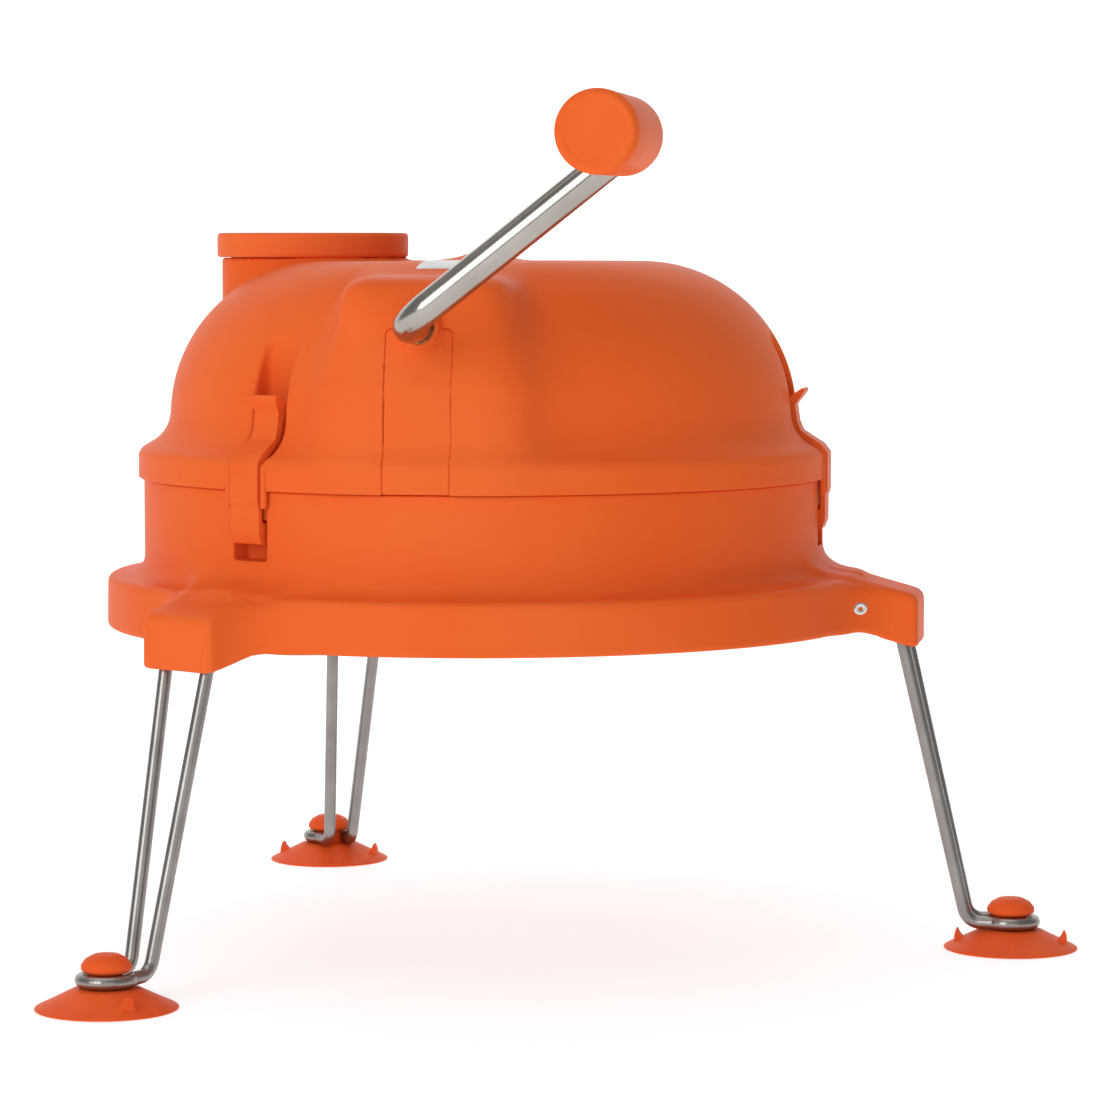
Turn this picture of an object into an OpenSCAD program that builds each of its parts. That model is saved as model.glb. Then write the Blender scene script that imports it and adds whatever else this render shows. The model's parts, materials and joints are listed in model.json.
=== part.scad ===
// Rotary cheese grater on three folding legs with suction cups.
// Millimetres, +Z up, the crank faces -Y. Every module draws about the main
// axis, and placed() moves it so that the origin is the middle of the footprint.

/* [Base] */
// Radius of the flange round the base
flange_r = 174; // [172:1:178]
// Radius of the upright base wall
base_r = 159.5; // [158:0.5:160]
// Height of the flange underside above the table
flange_z = 152; // [150:0.5:153]
// Height of the base rim, where the cover sits
rim_z = 218; // [216:0.5:219]
// Wall thickness of the moulded parts
wall = 3; // [2.5:0.1:3.4]
// Radius at the end face of a leg arm
arm_end_r = 204.5; // [204:0.5:210]
// Width of a leg arm
arm_w = 38; // [35:0.5:39]

/* [Cover] */
// Radius of the rim band of the cover
band_r = 162; // [161.5:0.5:163]
// Radius of the dome where it meets the shoulder
dome_r = 147; // [146.5:0.5:148]
// Height of the flat top of the dome
dome_top_z = 318.5; // [317:0.5:322]
// Radius of the quarter round between dome wall and flat top
dome_round = 73; // [70:0.5:74]
// Width of the crank housing that bulges from the dome
bulge_w = 77; // [72:1:79]
// Distance from the main axis to the front of the crank housing
bulge_front = 153; // [152:0.5:155]

/* [Feed tube] */
// Feed tube centre, sideways from the main axis
feed_x = -90; // [-92:0.5:-89]
// Feed tube centre, behind the main axis
feed_y = 34; // [30:0.5:38]
// Outer radius of the feed tube
feed_r = 43.6; // [42:0.2:44]
// Radius of the cap on the pusher
cap_r = 45.9; // [45:0.1:48]
// Height of the top of the pusher cap
cap_top_z = 332; // [330:0.5:336]

/* [Crank] */
// Height of the crank shaft
shaft_z = 291; // [291:0.5:292]
// Radius of the bent crank tube
tube_r = 7; // [6.5:0.1:7.2]
// Crank length from shaft to knob axis
crank_len = 129; // [120:1:135]
// Angle of the crank above the sideways direction at rest
crank_angle = 38.2; // [0:0.1:90]
// Distance of the crank arm in front of the main axis
arm_y = 189; // [186:0.5:194]
// Radius of the two bends of the tube
bend_r = 16; // [15:0.5:18]
// Radius of the knob
knob_r = 17; // [16.5:0.5:20]
// Length of the knob
knob_len = 74; // [60:1:80]
// Distance from the crank arm to the back of the knob
knob_gap = 40; // [38:1:44]

/* [Legs] */
// Radius of the leg wire
wire_r = 3; // [2.6:0.1:3]
// Distance from the main axis to the middle of a suction cup
foot_r = 249; // [245:1:253]
// Radius of a suction cup at the table
cup_r = 31; // [29:0.5:34]
// Distance from the main axis to the pin that a leg folds about
pin_r = 181; // [180:0.5:182]
// Height of that pin
pin_z = 160; // [159:0.5:161]

/* [Gears and disc] */
// Teeth on the pinion
pinion_teeth = 16; // [16]
// Teeth on the crown gear
crown_teeth = 24; // [24]
// Gear module
gear_module = 2.5; // [2.5]
// Radius of the grating disc
disc_r = 138; // [132:1:140]
// Underside of the grating disc
disc_z = 224; // [223:0.5:224.5]

/* [Hidden] */
$fn = 96;

orange = "#f0521e";
steel = "silver";

// Stations of the three legs and latches, seen from above.
right = 0;
rear = 120;
left = 240;
front = 270;

// Footprint of the whole grater about the main axis, which sets the origin.
foot_side = foot_r * sin(60) + cup_r;
reach_x = foot_r + cup_r;
knob_back = arm_y + knob_gap;
knob_front = knob_back + knob_len;
axis_x = (flange_r - reach_x) / 2;
axis_y = (knob_front - foot_side) / 2;

flange_top_z = flange_z + 18;
fillet_r = 9;
fillet_bite = 0.15;
dome_mid = dome_r - dome_round;
dome_mid_z = dome_top_z - dome_round;
band_top_z = rim_z + 13;
shoulder_z = rim_z + 24;
feed_wall = 3.4;
feed_bottom_z = disc_z + 3.5;
feed_top_z = cap_top_z - 12;

// Leg arm, seen from the side.
arm_low_z = flange_z - 8.5;
arm_top_z = flange_top_z - 2.4;
arm_slope = 0.34;
arm_fillet = 45;
arm_skin = 2.3;
// Middle of the hollow corner between an arm and the flange.
corner_y = arm_w / 2 + arm_fillet;
corner_reach = flange_r + arm_fillet - 0.5;
corner_x = sqrt(pow(corner_reach, 2) - pow(corner_y, 2));
wire_gap = 26.5;
ankle_gap = 12;
knee = [pin_r + 15.3, pin_z - 5];
ankle = [foot_r - 20.5, 15];
loop_z = 12.5;
loop_r = 10.6;
eye_r = 6.4;

// Latch: a lever on a pin between two lugs of the cover.
latch_w = 17;
lug_gap = 18.4;
lug_t = 3;
latch_pin = [base_r + 0.2, rim_z + 4];
coil_r = 1.95;
coil_wire_r = 0.4;
coil_room = 2.8;
latch_pin_r = 1.25;
recess_w = 20;
window_w = 20;
window_low_z = rim_z - 31;
window_top_z = rim_z - 13;
pocket_wall = 2.5;
pocket_r = base_r - 10;

// Crank bracket and shaft.
tongue_w = 30;
tongue_recess = 0.8;
sleeve_r = 12;
bush_r = 8;
collar_r = 9.6;
slot_gap = 0.3;
slot_corner = 3;
tongue_top_z = shaft_z - 1;
lip = 2;
running = 0.05;
sleeve_end = 42;
collar_out = bulge_front + 5;
shaft_end = 20;
pinion_face = 8;
knob_axis_x = crank_len * cos(crank_angle);
knob_axis_z = shaft_z + crank_len * sin(crank_angle);
knob_recess = 11;
knob_taper = 0.5;
bulge_drop = 3.2;
// Blank plate on top, in a shallow seat behind the crank.
plate_w = 25;
plate_l = 37;
plate_back = 17;
plate_seat = 0.15;
pin_blind = arm_w / 2 - 1.2;
pin_proud = 0.3;

// Gears.
pinion_r = gear_module * pinion_teeth / 2;
crown_r = gear_module * crown_teeth / 2;
addendum = 0.8 * gear_module;
dedendum = 1.1 * gear_module;
gear_pitch = PI * gear_module;
mesh_z = shaft_z - pinion_r;
crown_low_z = mesh_z - 14;

// Spindle and spider.
spindle_r = 5;
spider_z = flange_z + 32;
spider_h = 8;
hub_r = 16;
pad_r = 146;
screw_r = 2;
disc_t = 1.2;

module placed() {
    translate([axis_x, axis_y, 0])
        children();
}

module at(angle) {
    rotate([0, 0, angle])
        children();
}

// Stands a side view, drawn as distance from the axis and height, upright.
module side_plate(w) {
    rotate([90, 0, 0])
        translate([0, 0, -w / 2])
            linear_extrude(w)
                children();
}

// A rod along Y from the near distance to the far one in front of the axis.
module front_rod(near, far, r) {
    translate([0, -near, 0])
        rotate([90, 0, 0])
            cylinder(h = far - near, r = r);
}

module ring(r_out, r_in, z, h) {
    translate([0, 0, z])
        difference() {
            cylinder(h = h, r = r_out);
            translate([0, 0, -1])
                cylinder(h = h + 2, r = r_in);
        }
}

// ---- base ----

// Half section of the base wall and flange.
module base_section() {
    difference() {
        union() {
            translate([base_r - wall, rim_z - 60])
                square([wall, 60]);
            translate([base_r - wall, flange_z])
                square([flange_r - base_r + wall - 4, flange_top_z - flange_z]);
            translate([base_r - wall, flange_z])
                square([flange_r - base_r + wall, flange_top_z - flange_z - 4]);
            translate([flange_r - 4, flange_top_z - 4])
                circle(4);
            difference() {
                translate([base_r - 1, flange_top_z - 1])
                    square(fillet_r);
                translate([base_r + fillet_r - fillet_bite, flange_top_z + fillet_r - fillet_bite])
                    circle(fillet_r);
            }
        }
        polygon([
            [base_r - wall - 1, flange_z - 1],
            [flange_r - wall, flange_z - 1],
            [flange_r - wall, flange_top_z - 5],
            [flange_r - wall - 3, flange_top_z - 3],
            [base_r + 1, flange_top_z - 3],
            [base_r - wall, flange_top_z + 5],
            [base_r - wall - 1, flange_top_z + 5]
        ]);
    }
}

// Plan of one arm with the two hollow corners where it meets the flange.
module arm_plan() {
    inside = (flange_r - 2) / corner_reach;
    translate([base_r - 4, -arm_w / 2])
        square([arm_end_r - base_r + 4, arm_w]);
    for (side = [-1, 1])
        difference() {
            polygon([
                [base_r, 0],
                [corner_x, 0],
                [corner_x, side * corner_y],
                [corner_x * inside, side * corner_y * inside]
            ]);
            translate([corner_x, side * corner_y])
                circle(arm_fillet);
        }
}

// Side view of an arm: a sloping top, a blunt nose and a low end.
module arm_side() {
    root = base_r + 3;
    root_z = arm_top_z + arm_slope * (arm_end_r - 4 - root);
    difference() {
        polygon([
            [base_r - 6, flange_z - 1],
            [flange_r - 6, flange_z - 1],
            [arm_end_r - 2, arm_low_z],
            [arm_end_r, arm_low_z],
            [arm_end_r, arm_top_z - 4],
            [arm_end_r - 4, arm_top_z],
            [root, root_z],
            [base_r, root_z + 4],
            [base_r - 6, root_z + 4]
        ]);
        translate([0, arm_low_z - 40])
            square([base_r - 1, 100]);
    }
}

module arm_solid() {
    intersection() {
        translate([0, 0, arm_low_z - 5])
            linear_extrude(60)
                arm_plan();
        side_plate(arm_w + 2 * arm_fillet + 4)
            arm_side();
    }
}

// Space under an arm for the leg wire, open below so that the leg folds in.
module arm_hollow() {
    inner_w = arm_w - 2 * arm_skin;
    side_plate(inner_w)
        polygon([
            [base_r - 12, arm_low_z - 5],
            [arm_end_r - 2.2, arm_low_z - 5],
            [arm_end_r - 2.2, arm_top_z - 7],
            [flange_r, flange_top_z - 1],
            [base_r + 2, flange_top_z - 1],
            [base_r - 12, flange_top_z - 6]
        ]);
}

// Closed box inside the wall, behind the window that a latch hooks into.
module latch_pocket() {
    translate([pocket_r - pocket_wall, -window_w / 2 - pocket_wall, window_low_z - pocket_wall])
        cube([
            base_r - 2 - pocket_r + pocket_wall,
            window_w + 2 * pocket_wall,
            window_top_z - window_low_z + 2 * pocket_wall
        ]);
}

module base_housing() {
    placed()
        color(orange)
            difference() {
                union() {
                    rotate_extrude()
                        base_section();
                    for (a = [right, rear, left])
                        at(a)
                            arm_solid();
                    for (a = [60, 180, 300])
                        at(a)
                            translate([pad_r - 7, -7, spider_z - 12])
                                cube([base_r - pad_r + 6, 14, 12]);
                    at(front)
                        translate([base_r - 6.5, -12, rim_z - 20])
                            cube([5, 24, 14]);
                    for (a = [right, rear, left])
                        at(a)
                            latch_pocket();
                }
                for (a = [right, rear, left])
                    at(a) {
                        arm_hollow();
                        translate([pocket_r, -window_w / 2, window_low_z])
                            cube([20, window_w, window_top_z - window_low_z]);
                        translate([pin_r, pin_blind, pin_z])
                            rotate([90, 0, 0])
                                cylinder(h = 2 * arm_w, r = wire_r);
                    }
                for (a = [60, 180, 300])
                    at(a)
                        translate([pad_r, 0, spider_z - 8])
                            cylinder(h = 20, r = screw_r);
                at(front) {
                    translate([base_r - 20, -tongue_w / 2 - 0.3, rim_z - 24])
                        cube([16.2, tongue_w + 0.6, 40]);
                    for (s = [-8, 8])
                        translate([base_r - 10, s, rim_z - 13])
                            rotate([0, 90, 0])
                                cylinder(h = 8.6, r = 1.6);
                }
            }
}

module spindle_spider() {
    placed()
        color(steel)
            difference() {
                union() {
                    translate([0, 0, spider_z - 6])
                        cylinder(h = 22, r = hub_r);
                    for (a = [60, 180, 300])
                        at(a) {
                            translate([0, -5, spider_z])
                                cube([pad_r + 5, 10, spider_h]);
                            translate([10, -1.5, spider_z - 5])
                                cube([pad_r - 20, 3, 6]);
                        }
                }
                translate([0, 0, spider_z - 20])
                    cylinder(h = 60, r = spindle_r + 3);
                for (a = [60, 180, 300])
                    at(a)
                        translate([pad_r, 0, spider_z - 8])
                            cylinder(h = 30, r = screw_r);
            }
}

module spider_screws() {
    placed()
        color(steel)
            for (a = [60, 180, 300])
                at(a)
                    translate([pad_r, 0, spider_z]) {
                        translate([0, 0, -8])
                            cylinder(h = 8 + spider_h, r = screw_r);
                        difference() {
                            translate([0, 0, spider_h])
                                cylinder(h = 3, r = 3.6);
                            translate([-0.5, -3, spider_h + 1.8])
                                cube([1, 6, 3]);
                        }
                    }
}

module spindle_bush() {
    placed()
        color("#b98a3a")
            ring(spindle_r + 3, spindle_r + running, spider_z - 6, 22);
}

// ---- cover ----

// Half section of the dome, shoulder and rim band as a filled outline.
module dome_outline(inset) {
    intersection() {
        translate([dome_mid, dome_mid_z])
            circle(dome_round - inset);
        translate([dome_mid, dome_mid_z])
            square(dome_round);
    }
    translate([0, dome_mid_z])
        square([dome_mid, dome_round - inset]);
    translate([0, shoulder_z - 8])
        square([dome_r - inset, dome_mid_z - shoulder_z + 8]);
}

module shoulder_outline(inset) {
    polygon([
        [0, rim_z],
        [band_r - inset, rim_z],
        [band_r - inset, band_top_z - inset / 2],
        [band_r - 2 - inset, band_top_z + 2 - inset],
        [dome_r - inset, shoulder_z - inset / 2],
        [0, shoulder_z]
    ]);
}

// Crank housing: front view and side view crossed.
module bulge(inset) {
    w = bulge_w - 2 * inset;
    corner = 14 - inset;
    top = dome_top_z - inset;
    intersection() {
        rotate([90, 0, 0])
            linear_extrude(200)
                union() {
                    translate([-w / 2, rim_z])
                        square([w, top - rim_z - corner]);
                    translate([-w / 2 + corner, rim_z])
                        square([w - 2 * corner, top - rim_z]);
                    for (s = [-1, 1])
                        translate([s * (w / 2 - corner), top - corner])
                            circle(corner);
                }
        at(front)
            side_plate(100)
                bulge_side(inset);
    }
}

module bulge_side(inset) {
    nose = 12 - inset / 2;
    nose_top = dome_top_z - bulge_drop - inset;
    x_front = bulge_front - inset;
    translate([0, rim_z + 4])
        square([x_front, nose_top - nose - rim_z - 4]);
    polygon([
        [0, rim_z + 4],
        [x_front - nose, rim_z + 4],
        [x_front - nose, nose_top],
        [dome_mid - 30, dome_top_z - inset],
        [0, dome_top_z - inset]
    ]);
    translate([x_front - nose, nose_top - nose])
        circle(nose);
}

// Hollow behind and above a latch, seen from the side.
module recess_side(inset) {
    polygon([
        [band_r + 20, rim_z - 10],
        [base_r - 2.8 - inset, rim_z - 10],
        [base_r - 2.8 - inset, rim_z + 4],
        [dome_r - 9.3 - inset, shoulder_z - 4],
        [dome_r - 13.3 - inset, shoulder_z + 20],
        [dome_r - 16 - inset, dome_mid_z + 38 + inset],
        [band_r + 20, dome_mid_z + 38 + inset]
    ]);
}

module lugs() {
    for (s = [-1, 1])
        translate([0, s * (lug_gap + lug_t) / 2, 0])
            side_plate(lug_t)
                polygon([
                    [base_r + 0.4, rim_z - 7.5],
                    [base_r + 2.5, rim_z - 7.5],
                    [base_r + 3, rim_z - 6],
                    [base_r + 3, band_top_z - 1],
                    [base_r - 3, band_top_z + 3],
                    [base_r - 3, rim_z],
                    [base_r + 0.4, rim_z]
                ]);
}

module cover_outer() {
    rotate_extrude() {
        dome_outline(0);
        shoulder_outline(0);
    }
    bulge(0);
    translate([feed_x, feed_y, feed_bottom_z])
        cylinder(h = feed_top_z - feed_bottom_z, r = feed_r);
}

module cover_inner() {
    rotate_extrude() {
        dome_outline(wall);
        translate([0, rim_z - 10])
            square([dome_r - wall, shoulder_z - rim_z + 6]);
        polygon([
            [0, rim_z + 2],
            [base_r - wall - 4, rim_z + 2],
            [base_r - wall - 4, band_top_z - 2],
            [dome_r - wall, shoulder_z - 3],
            [0, shoulder_z - 3]
        ]);
    }
    bulge(wall);
}

module cover_shell() {
    placed()
        color(orange)
            difference() {
                union() {
                    difference() {
                        cover_outer();
                        difference() {
                            cover_inner();
                            translate([feed_x, feed_y, feed_bottom_z])
                                cylinder(h = 200, r = feed_r);
                            for (a = [right, rear, left])
                                at(a)
                                    side_plate(recess_w + 4)
                                        recess_side(2.5);
                        }
                        for (a = [right, rear, left])
                            at(a)
                                side_plate(recess_w)
                                    recess_side(0);
                    }
                    ring(base_r - wall - 0.4, base_r - wall - 3.4, rim_z - 5, 8);
                    for (a = [right, rear, left])
                        at(a)
                            lugs();
                }
                translate([feed_x, feed_y, rim_z])
                    cylinder(h = 200, r = feed_r - feed_wall);
                crank_slot();
                plate_block(0.2, -plate_seat, 5);
                for (a = [right, rear, left])
                    at(a)
                        translate([latch_pin[0], 20, latch_pin[1]])
                            rotate([90, 0, 0])
                                cylinder(h = 40, r = latch_pin_r);
            }
}

// Front view of the bracket's strip with round upper corners, and of its collar.
module tongue_front(gap) {
    half = tongue_w / 2 + gap;
    top = tongue_top_z + gap;
    translate([-half, rim_z - 40])
        square([2 * half, top - slot_corner - rim_z + 40]);
    translate([-half + slot_corner, rim_z - 40])
        square([2 * (half - slot_corner), top - rim_z + 40]);
    for (s = [-1, 1])
        translate([s * (half - slot_corner), top - slot_corner])
            circle(slot_corner);
    translate([0, shaft_z])
        circle(collar_r + gap);
}

// Slot in the front of the cover, open below, that the bracket fills.
module crank_slot() {
    translate([0, -bulge_front + 20, 0])
        rotate([90, 0, 0])
            linear_extrude(40)
                tongue_front(slot_gap);
}

plate_tilt = atan(bulge_drop / (bulge_front - 12 - dome_mid + 30));

// Block over the place of the blank plate, grown sideways by a gap.
module plate_block(gap, low, high) {
    translate([0, -(dome_mid - 30), dome_top_z])
        rotate([plate_tilt, 0, 0])
            translate([-plate_w / 2 - gap, -plate_back - plate_l - gap, low])
                cube([plate_w + 2 * gap, plate_l + 2 * gap, high]);
}

module name_plate() {
    placed()
        color(steel)
            plate_block(0, 0.02 - plate_seat, 0.6);
}

// ---- crank bracket ----

module tongue_side() {
    face = bulge_front - tongue_recess;
    polygon([
        [face - 4, shaft_z + 20],
        [face, shaft_z + 20],
        [face, shoulder_z - 1],
        [band_r - tongue_recess - 1, band_top_z + 1],
        [band_r - tongue_recess, band_top_z - 1],
        [band_r - tongue_recess, rim_z + 0.3],
        [base_r - wall - 1, rim_z + 0.3],
        [base_r - wall - 1, rim_z - 23],
        [base_r - wall - 5, rim_z - 23],
        [base_r - wall - 5, band_top_z - 1],
        [face - 4, shoulder_z - 3]
    ]);
}

module tongue() {
    intersection() {
        at(front)
            side_plate(tongue_w)
                tongue_side();
        translate([0, -100, 0])
            rotate([90, 0, 0])
                linear_extrude(100)
                    tongue_front(0);
    }
}

module crank_bracket() {
    placed()
        color(orange)
            difference() {
                union() {
                    tongue();
                    translate([0, 0, shaft_z]) {
                        front_rod(sleeve_end, bulge_front - wall - slot_gap, sleeve_r);
                        front_rod(bulge_front - 6, collar_out, collar_r);
                    }
                    at(front)
                        side_plate(6)
                            polygon([
                                [bulge_front - 3, shoulder_z - 2],
                                [bulge_front - 3, shaft_z - 5],
                                [sleeve_end + 16, shaft_z - 5],
                                [sleeve_end + 16, shaft_z - 13],
                                [bulge_front - 22, shoulder_z + 4]
                            ]);
                }
                translate([0, 0, shaft_z]) {
                    front_rod(sleeve_end - 10, collar_out - lip, bush_r);
                    front_rod(sleeve_end - 10, collar_out + 10, tube_r + slot_gap);
                }
                at(front)
                    for (s = [-8, 8])
                        translate([base_r - 20, s, rim_z - 13])
                            rotate([0, 90, 0])
                                cylinder(h = 25, r = 1.6);
            }
}

module bracket_screws() {
    placed()
        color(steel)
            at(front)
                for (s = [-8, 8])
                    translate([base_r - wall - 5, s, rim_z - 13])
                        rotate([0, 90, 0]) {
                            cylinder(h = 6.4, r = 1.6);
                            translate([0, 0, -2.2])
                                cylinder(h = 2.2, r = 3);
                        }
}

module front_bush() {
    placed()
        color("#b98a3a")
            translate([0, 0, shaft_z])
                difference() {
                    front_rod(collar_out - 22, collar_out - lip, bush_r);
                    front_rod(collar_out - 30, collar_out + 10, tube_r + running);
                }
}

module rear_bush() {
    placed()
        color("#b98a3a")
            translate([0, 0, shaft_z])
                difference() {
                    front_rod(sleeve_end, sleeve_end + 20, bush_r);
                    front_rod(sleeve_end - 10, sleeve_end + 30, tube_r + running);
                }
}

// ---- crank ----

// The bent path of the tube at a given radius, drawn with the arm along +X.
module crank_path(r, extra) {
    front_rod(shaft_end - extra, arm_y - bend_r, r);
    translate([bend_r, -(arm_y - bend_r), 0])
        rotate([0, 0, 180])
            rotate_extrude(angle = 90)
                translate([bend_r, 0])
                    circle(r);
    translate([bend_r, -arm_y, 0])
        rotate([0, 90, 0])
            cylinder(h = crank_len - 2 * bend_r, r = r);
    translate([crank_len - bend_r, -(arm_y + bend_r), 0])
        rotate_extrude(angle = 90)
            translate([bend_r, 0])
                circle(r);
    translate([crank_len, 0, 0])
        front_rod(arm_y + bend_r, knob_front - 7 + extra, r);
}

module crank_tube() {
    placed()
        color(steel)
            difference() {
                translate([0, 0, shaft_z])
                    rotate([0, -crank_angle, 0])
                        difference() {
                            crank_path(tube_r, 0);
                            crank_path(tube_r - 1.5, 1);
                        }
                pinion_pin_hole();
            }
}

pinion_hub_far = crown_r + pinion_face / 2;
pinion_hub_near = shaft_end + 0.5;
module pinion_pin_hole() {
    translate([0, -(pinion_hub_near + 2.8), shaft_z - 30])
        cylinder(h = 60, r = 1.5);
}

module shaft_ring() {
    placed()
        color(steel)
            translate([0, 0, shaft_z])
                difference() {
                    front_rod(sleeve_end - 2.3, sleeve_end - 0.3, 10.5);
                    front_rod(0, 60, tube_r);
                }
}

// Outline of the pinion: a root circle with straight-sided teeth.
module pinion_outline() {
    root = pinion_r - dedendum;
    tip = pinion_r + addendum;
    circle(root + 0.2);
    for (i = [0 : pinion_teeth - 1])
        rotate(i * 360 / pinion_teeth)
            polygon([
                [root - 1, -0.28 * gear_pitch],
                [tip, -0.10 * gear_pitch],
                [tip, 0.10 * gear_pitch],
                [root - 1, 0.28 * gear_pitch]
            ]);
}

module drive_pinion() {
    placed()
        color("whitesmoke")
            difference() {
                union() {
                    translate([0, -(crown_r - pinion_face / 2), shaft_z])
                        rotate([90, 0, 0])
                            linear_extrude(pinion_face)
                                pinion_outline();
                    translate([0, 0, shaft_z])
                        front_rod(pinion_hub_near, pinion_hub_far, 12);
                }
                translate([0, 0, shaft_z])
                    front_rod(0, 60, tube_r);
                pinion_pin_hole();
            }
}

module pinion_pin() {
    placed()
        color(steel)
            translate([0, -(pinion_hub_near + 2.8), shaft_z - 11.5])
                cylinder(h = 23, r = 1.5);
}

// ---- spindle and disc ----

module crown_gear() {
    tooth_low = mesh_z - dedendum - 0.2;
    placed()
        color("whitesmoke")
            difference() {
                union() {
                    translate([0, 0, crown_low_z])
                        cylinder(h = tooth_low - crown_low_z, r = crown_r + pinion_face / 2);
                    for (i = [0 : crown_teeth - 1])
                        at((i + 0.5) * 360 / crown_teeth)
                            translate([crown_r - pinion_face / 2, 0, tooth_low - 0.5])
                                rotate([90, 0, 90])
                                    linear_extrude(pinion_face)
                                        crown_tooth();
                }
                translate([0, 0, mesh_z - 6])
                    cylinder(h = 20, r = crown_r - pinion_face / 2 - 4);
                cylinder(h = 400, r = spindle_r);
            }
}

module crown_tooth() {
    h = dedendum + addendum + 0.5;
    polygon([
        [-0.27 * gear_pitch, 0],
        [0.27 * gear_pitch, 0],
        [0.09 * gear_pitch, h],
        [-0.09 * gear_pitch, h]
    ]);
}

spindle_low_z = spider_z - 10;
spindle_top_z = mesh_z + 4;
module spindle() {
    placed()
        color(steel)
            union() {
                translate([0, 0, spindle_low_z])
                    cylinder(h = spindle_top_z - spindle_low_z, r = spindle_r);
                translate([0, 0, spindle_low_z])
                    cylinder(h = 3, r = spindle_r + 2.5);
            }
}

module thrust_washer() {
    placed()
        color(steel)
            ring(hub_r - 2, spindle_r, spider_z + 16.3, 1.5);
}

module disc_hub() {
    placed()
        color("whitesmoke")
            difference() {
                union() {
                    translate([0, 0, spider_z + 17.8])
                        cylinder(h = disc_z - spider_z - 17.8, r = 14);
                    translate([0, 0, disc_z + disc_t])
                        cylinder(h = 6, r = 26);
                    translate([0, 0, disc_z])
                        cylinder(h = crown_low_z - disc_z, r = 14);
                }
                cylinder(h = 400, r = spindle_r);
                for (i = [0 : 3])
                    at(45 + 90 * i)
                        translate([20, 0, disc_z - 20])
                            cylinder(h = 60, r = 1.6);
            }
}

// Staggered rings of holes, each ring with its own count.
module grating_disc() {
    placed()
        color(steel)
            difference() {
                translate([0, 0, disc_z])
                    cylinder(h = disc_t, r = disc_r);
                translate([0, 0, disc_z - 5])
                    cylinder(h = 20, r = 14);
                for (i = [0 : 3])
                    at(45 + 90 * i)
                        translate([20, 0, disc_z - 5])
                            cylinder(h = 20, r = 1.6);
                for (k = [0 : 4])
                    for (i = [0 : 11 + 3 * k])
                        at((i + k / 2) * 360 / (12 + 3 * k))
                            translate([48 + 19 * k, 0, disc_z - 5])
                                cylinder(h = 20, r = 4.2);
            }
}

module disc_rivets() {
    placed()
        color(steel)
            for (i = [0 : 3])
                at(45 + 90 * i)
                    translate([20, 0, 0]) {
                        translate([0, 0, disc_z - 1.2])
                            cylinder(h = disc_t + 8.4, r = 1.6);
                        translate([0, 0, disc_z - 1.2])
                            cylinder(h = 1.2, r = 3);
                        translate([0, 0, disc_z + disc_t + 6])
                            cylinder(h = 1.2, r = 3);
                    }
}

module spindle_nut() {
    placed()
        color(steel)
            difference() {
                translate([0, 0, mesh_z - 6])
                    cylinder(h = 6, r = 9, $fn = 6);
                cylinder(h = 400, r = spindle_r);
            }
}

// ---- pusher ----

pusher_r = feed_r - feed_wall - 0.7;
pusher_wall = 2.6;
module pusher_body() {
    low = feed_bottom_z + 12;
    placed()
        color(orange)
            translate([feed_x, feed_y, 0])
                difference() {
                    translate([0, 0, low])
                        cylinder(h = feed_top_z + 0.3 - low, r = pusher_r);
                    translate([0, 0, low + 3])
                        cylinder(h = 200, r = pusher_r - pusher_wall);
                }
}

module pusher_cap() {
    low = feed_top_z + 0.3;
    high = cap_top_z - low;
    placed()
        color(orange)
            translate([feed_x, feed_y, low]) {
                rotate_extrude() {
                    square([cap_r - 2.5, high]);
                    translate([0, 2.5])
                        square([cap_r, high - 5]);
                    for (z = [2.5, high - 2.5])
                        translate([cap_r - 2.5, z])
                            circle(2.5);
                }
                ring(pusher_r - pusher_wall, pusher_r - pusher_wall - 2.5, -8, 8.5);
            }
}

// ---- knob ----

module at_knob() {
    placed()
        translate([knob_axis_x, 0, knob_axis_z])
            children();
}

module knob_grip() {
    at_knob()
        color(orange)
            difference() {
                union() {
                    translate([0, -knob_back - 1.5, 0])
                        rotate([90, 0, 0])
                            cylinder(h = knob_len - 5.5, r1 = knob_r - knob_taper, r2 = knob_r);
                    front_rod(knob_back, knob_back + 3, knob_r - knob_taper - 1.5);
                }
                front_rod(knob_back - 5, knob_front + 5, tube_r + running);
                front_rod(knob_front - knob_recess, knob_front + 5, 13);
            }
}

module knob_retainer() {
    at_knob()
        color(steel)
            difference() {
                front_rod(knob_front - knob_recess + 0.3, knob_front - knob_recess + 2.3, 11);
                front_rod(0, 400, tube_r);
            }
}

module knob_cap() {
    at_knob()
        color(orange) {
            front_rod(knob_front - 4, knob_front - 1.5, knob_r);
            front_rod(knob_front - 2, knob_front, knob_r - 1.8);
            difference() {
                front_rod(knob_front - 7.5, knob_front - 3.5, 13);
                front_rod(knob_front - 10, knob_front - 3.6, 10.5);
            }
        }
}

// ---- latches ----

// Lever seen from the side: hook below, body at the pin, finger tab on top.
module latch_side() {
    hook_z = window_low_z + 9;
    difference() {
        union() {
            polygon([
                [base_r - 3.6, hook_z],
                [base_r + 1, hook_z],
                [base_r + 2.8, hook_z + 3.5],
                [base_r + 2.8, rim_z - 7],
                [base_r + 3.8, rim_z - 5],
                [base_r + 3.8, band_top_z],
                [dome_r + 2, shoulder_z + 1.6],
                [dome_r + 0.9, shoulder_z + 10],
                [dome_r + 5.6, shoulder_z + 17],
                [dome_r + 4.6, shoulder_z + 18.6],
                [dome_r - 2, shoulder_z + 13.5],
                [dome_r - 1.3, shoulder_z + 0.8],
                [base_r - 2, rim_z + 12],
                [base_r - 2, rim_z + 2.7],
                [base_r + 0.5, rim_z - 0.2],
                [base_r + 0.5, hook_z + 7],
                [base_r - 3.6, hook_z + 8.2]
            ]);
        }
        translate(latch_pin)
            circle(latch_pin_r + running);
    }
}

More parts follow.
